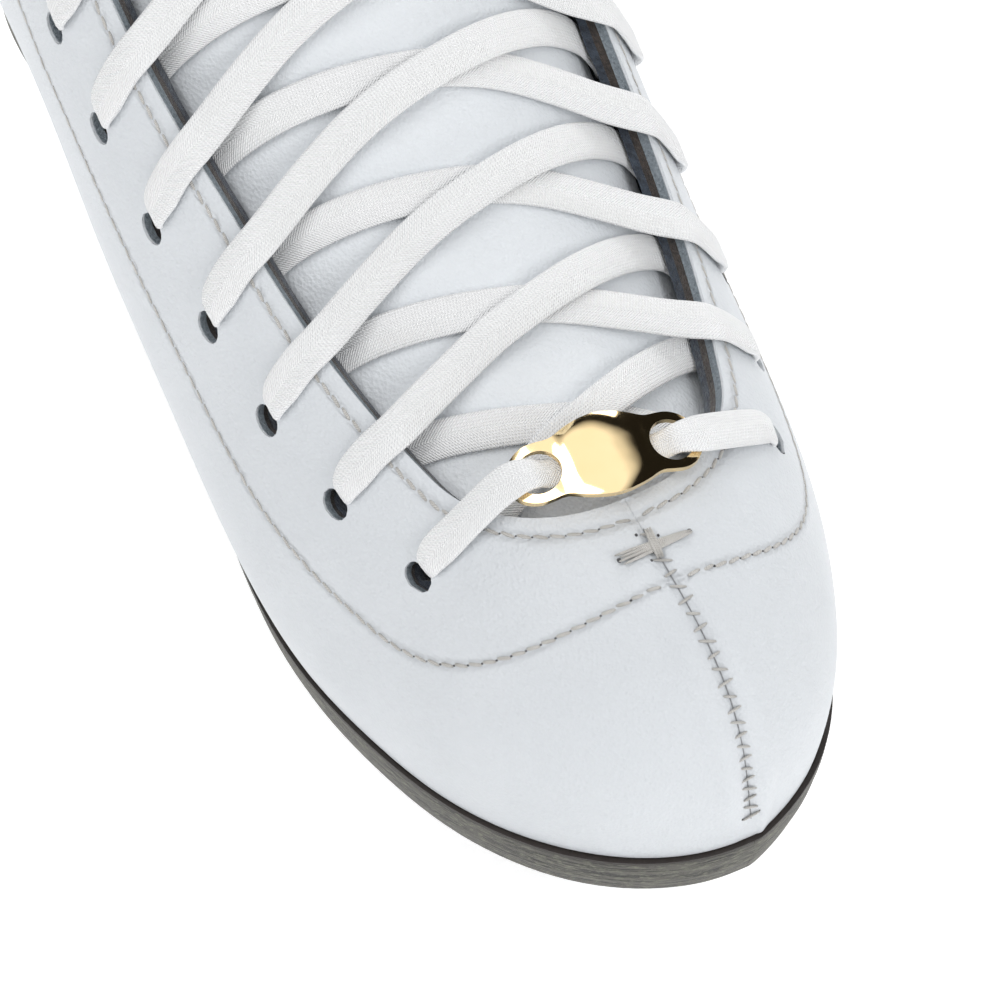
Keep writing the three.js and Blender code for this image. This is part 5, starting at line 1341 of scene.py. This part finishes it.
def build_blade():
    """Runner and plates rounded over, stanchions flared from one to the other, and their screws."""
    refined("blade_runner", "blade", 0.35)
    refined("sole_plate", "plate", 0.5)
    refined("heel_plate", "plate", 0.5)
    v = np.arange(48) * 2 * np.pi / 48
    a = np.sign(np.sin(v)) * np.abs(np.sin(v)) ** 0.6
    c = np.sign(np.cos(v)) * np.abs(np.cos(v)) ** 0.6
    t = np.linspace(0, 1, 26)[:, None]
    posts = (("toe_stanchion", 193, 223, SOLE_PLATE_TOP, -4), ("heel_stanchion", 19, 43, HEEL_PLATE_TOP, 2))
    for name, back, front, top, lean in posts:
        low, high = 21.0, top - PLATE
        s = (back + front) / 2 + lean * t + c * ((front - back) / 2 + 8 * t**3 - 2 * np.sin(np.pi * t))
        rings = np.stack([a * (2.6 + 7 * t**3), ORIGIN_S - s, low + (high - low) * t + 0 * s], -1)
        points, faces = ring_mesh(rings)
        make(f"{name}_cast", points, faces, [look("plate")], bevel=0.4, replaces=(name,), slot="steel")
    profile = np.array([[0.02, 1.1], [1.3, 1.1], [1.3, 0.15], [1.45, 0.0], [3.9, 0.0], [4.2, 0.3],
                        [2.0, 2.0], [2.0, 7.6], [0.02, 9.6]])
    places = [(f"sole_screw_{i + 1}", s, x, SOLE_PLATE_TOP) for i, (s, x) in enumerate(SOLE_SCREWS)]
    places += [(f"heel_screw_{i + 1}", s, x, HEEL_PLATE_TOP) for i, (s, x) in enumerate(HEEL_SCREWS)]
    for name, s, x, top in places:
        v = np.arange(32) * 2 * np.pi / 32
        rings = np.stack([x + profile[:, :1] * np.cos(v), ORIGIN_S - s + profile[:, :1] * np.sin(v),
                          top - PLATE + profile[:, 1:] + 0 * v], -1)
        points, faces = ring_mesh(rings)
        make(f"{name}_steel", points, faces, [look("plate")], replaces=(name,), slot="steel", sharp=35)


def finish_inner_pieces():
    """The stiffeners and bed that stay as they are get their own finishes."""
    for node, name in (("toe_puff", "stay"), ("heel_counter", "stay"), ("insole_board", "board"),
                       ("footbed", "foam")):
        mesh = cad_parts[node].data
        mesh.materials.clear()
        mesh.materials.append(look(name))


# ------------------------------------------------------------------ stage
def floor_paper(w):
    """Lit white paper: a little of its own light keeps the cast shadow faint."""
    tone = noise(w, place_of(w), 2.0, 2.0).mix(rgb((0.90, 0.90, 0.90)), rgb((0.93, 0.93, 0.93)))
    return {"Base Color": tone, "Emission Color": tone}


def build_stage():
    """Pale floor, soft lights, and the camera above and in front of the toe."""
    scene = bpy.context.scene
    scene.view_settings.view_transform = "Standard"
    target = Vector(to_row(np.array([-13.64, ORIGIN_S - 209.01, 100.0])).tolist())
    az, el, roll, distance = -26.08 * DEG, 50.94 * DEG, -1.29 * DEG, 0.9
    back = Vector((math.sin(az) * math.cos(el), -math.cos(az) * math.cos(el), math.sin(el)))
    right = (-back).cross(Vector((0, 0, 1))).normalized()
    up = right.cross(-back)
    right, up = (right * math.cos(roll) + up * math.sin(roll), up * math.cos(roll) - right * math.sin(roll))
    camera = bpy.data.objects.new("camera", bpy.data.cameras.new("camera"))
    camera.data.sensor_width, camera.data.lens = 36, 199.68
    camera.data.clip_start = 0.01
    scene.collection.objects.link(camera)
    camera.matrix_world = Matrix.Translation(target + back * distance) @ Matrix(
        (right, up, back)).transposed().to_4x4()
    scene.camera = camera

    bpy.ops.mesh.primitive_plane_add(size=12, location=(0, 0, -0.0005))
    floor = bpy.context.object
    floor.name = "floor"
    floor.data.materials.append(new_look("floor_paper", floor_paper, Roughness=0.9, Emission_Strength=0.5))

    world = scene.world or bpy.data.worlds.new("studio")
    scene.world = world
    world.use_nodes = True
    w = Wire(world.node_tree)
    sky = world.node_tree.nodes["Background"]
    height = w.any("ShaderNodeSeparateXYZ", {0: w.any("ShaderNodeTexCoord", {}, "Generated")}, 2)
    glossy = w.any("ShaderNodeLightPath", {}, "Is Glossy Ray")
    dark = (1.0 - height.step(0.86, 0.93)) * height.step(0.42, 0.55)
    shine = dark.mix(rgb((2.6, 2.6, 2.6)), rgb((0.03, 0.028, 0.025)))
    colour = glossy.mix(rgb((1.0, 1.0, 1.0)), shine)
    world.node_tree.links.new(colour.socket, sky.inputs["Color"])
    sky.inputs["Strength"].default_value = 0.46
    lights = (("key", (-0.5, -0.2, 1.2), 0.9, 6.3), ("rear", (0.5, 0.9, 0.9), 0.8, 7.2),
              ("front", (0.5, -1.2, 0.9), 0.8, 6.2))
    for name, place, size, power in lights:
        lamp = bpy.data.objects.new(name, bpy.data.lights.new(name, "AREA"))
        lamp.data.size, lamp.data.energy = size, power
        lamp.location = place
        lamp.rotation_euler = (Vector((0, 0, 0.1)) - Vector(place)).to_track_quat("-Z", "Y").to_euler()
        scene.collection.objects.link(lamp)


# ------------------------------------------------------------------ add-on
class SkateSizes(bpy.types.PropertyGroup):
    """Sizes and colours that can be changed before the pieces are built."""

    stitch_pitch: FloatProperty(name="Stitch pitch",
                                description="Distance from one machine stitch to the next",
                                default=0.0027, min=0.001, max=0.006, precision=4, unit="LENGTH")
    thread_width: FloatProperty(name="Thread width", description="Width of the sewing thread",
                                default=0.00066, min=0.0002, max=0.002, precision=5, unit="LENGTH")
    leather_colour: FloatVectorProperty(name="Leather", description="Colour of the boot's leather",
                                        default=(0.675, 0.702, 0.732), size=3, min=0, max=1, subtype="COLOR")
    leather_shade: FloatVectorProperty(name="Leather shade", description="Second tone of the boot's leather",
                                       default=(0.64, 0.667, 0.697), size=3, min=0, max=1, subtype="COLOR")
    lace_colour: FloatVectorProperty(name="Lace", description="Colour of the cotton lace",
                                     default=(0.965, 0.97, 0.975), size=3, min=0, max=1, subtype="COLOR")


PIECES = (
    ("stage", "Stage", "Add the floor, lights and camera", build_stage),
    ("bow", "Bow", "Add the bow's loops and tipped ends", build_bow),
    ("lace", "Lace", "Add the taut lace and its knot", build_lace),
    ("upper", "Upper", "Add the boot's leather, linings and stays", build_upper),
    ("tongue", "Tongue", "Add the tongue and its pad", build_tongue),
    ("shaft_trim", "Collar and backstay", "Add the collar and the strip down the back", build_shaft_trim),
    ("stitching", "Stitching", "Add the seams, stitch rows and bar tack", build_stitching),
    ("tag", "Lace tag", "Add the gilt tag threaded on the lace", build_tag),
    ("hooks", "Hooks", "Add the lace hooks", build_hooks),
    ("sole", "Sole and heel", "Add the layered sole and heel", build_sole),
    ("blade", "Blade", "Add the blade, its stanchions, plates and screws", build_blade),
    ("inner", "Inner pieces", "Finish the stiffeners and the foot bed", finish_inner_pieces),
)


def piece_operator(key, label, words, build):
    """An operator that builds one piece or group of pieces."""
    def execute(self, context):
        build()
        return {"FINISHED"}
    return type("SKATE_OT_" + key, (bpy.types.Operator,), {
        "__doc__": words, "bl_idname": "skate." + key, "bl_label": label, "execute": execute})


OPERATORS = [piece_operator(*piece) for piece in PIECES]


class SKATE_PT_panel(bpy.types.Panel):
    """Lists the skate's sizes and the buttons that build its pieces."""

    bl_label = "Figure Skate"
    bl_idname = "SKATE_PT_panel"
    bl_space_type = "VIEW_3D"
    bl_region_type = "UI"
    bl_category = "Skate"

    def draw(self, context):
        for name in SkateSizes.__annotations__:
            self.layout.prop(context.scene.skate, name)
        for operator in OPERATORS:
            self.layout.operator(operator.bl_idname)


def register():
    for cls in (SkateSizes, *OPERATORS, SKATE_PT_panel):
        bpy.utils.register_class(cls)
    bpy.types.Scene.skate = PointerProperty(type=SkateSizes)


def unregister():
    del bpy.types.Scene.skate
    for cls in (SKATE_PT_panel, *reversed(OPERATORS), SkateSizes):
        bpy.utils.unregister_class(cls)


def main():
    register()
    for key, *_ in PIECES:
        getattr(bpy.ops.skate, key)()


if __name__ == "__main__":
    main()
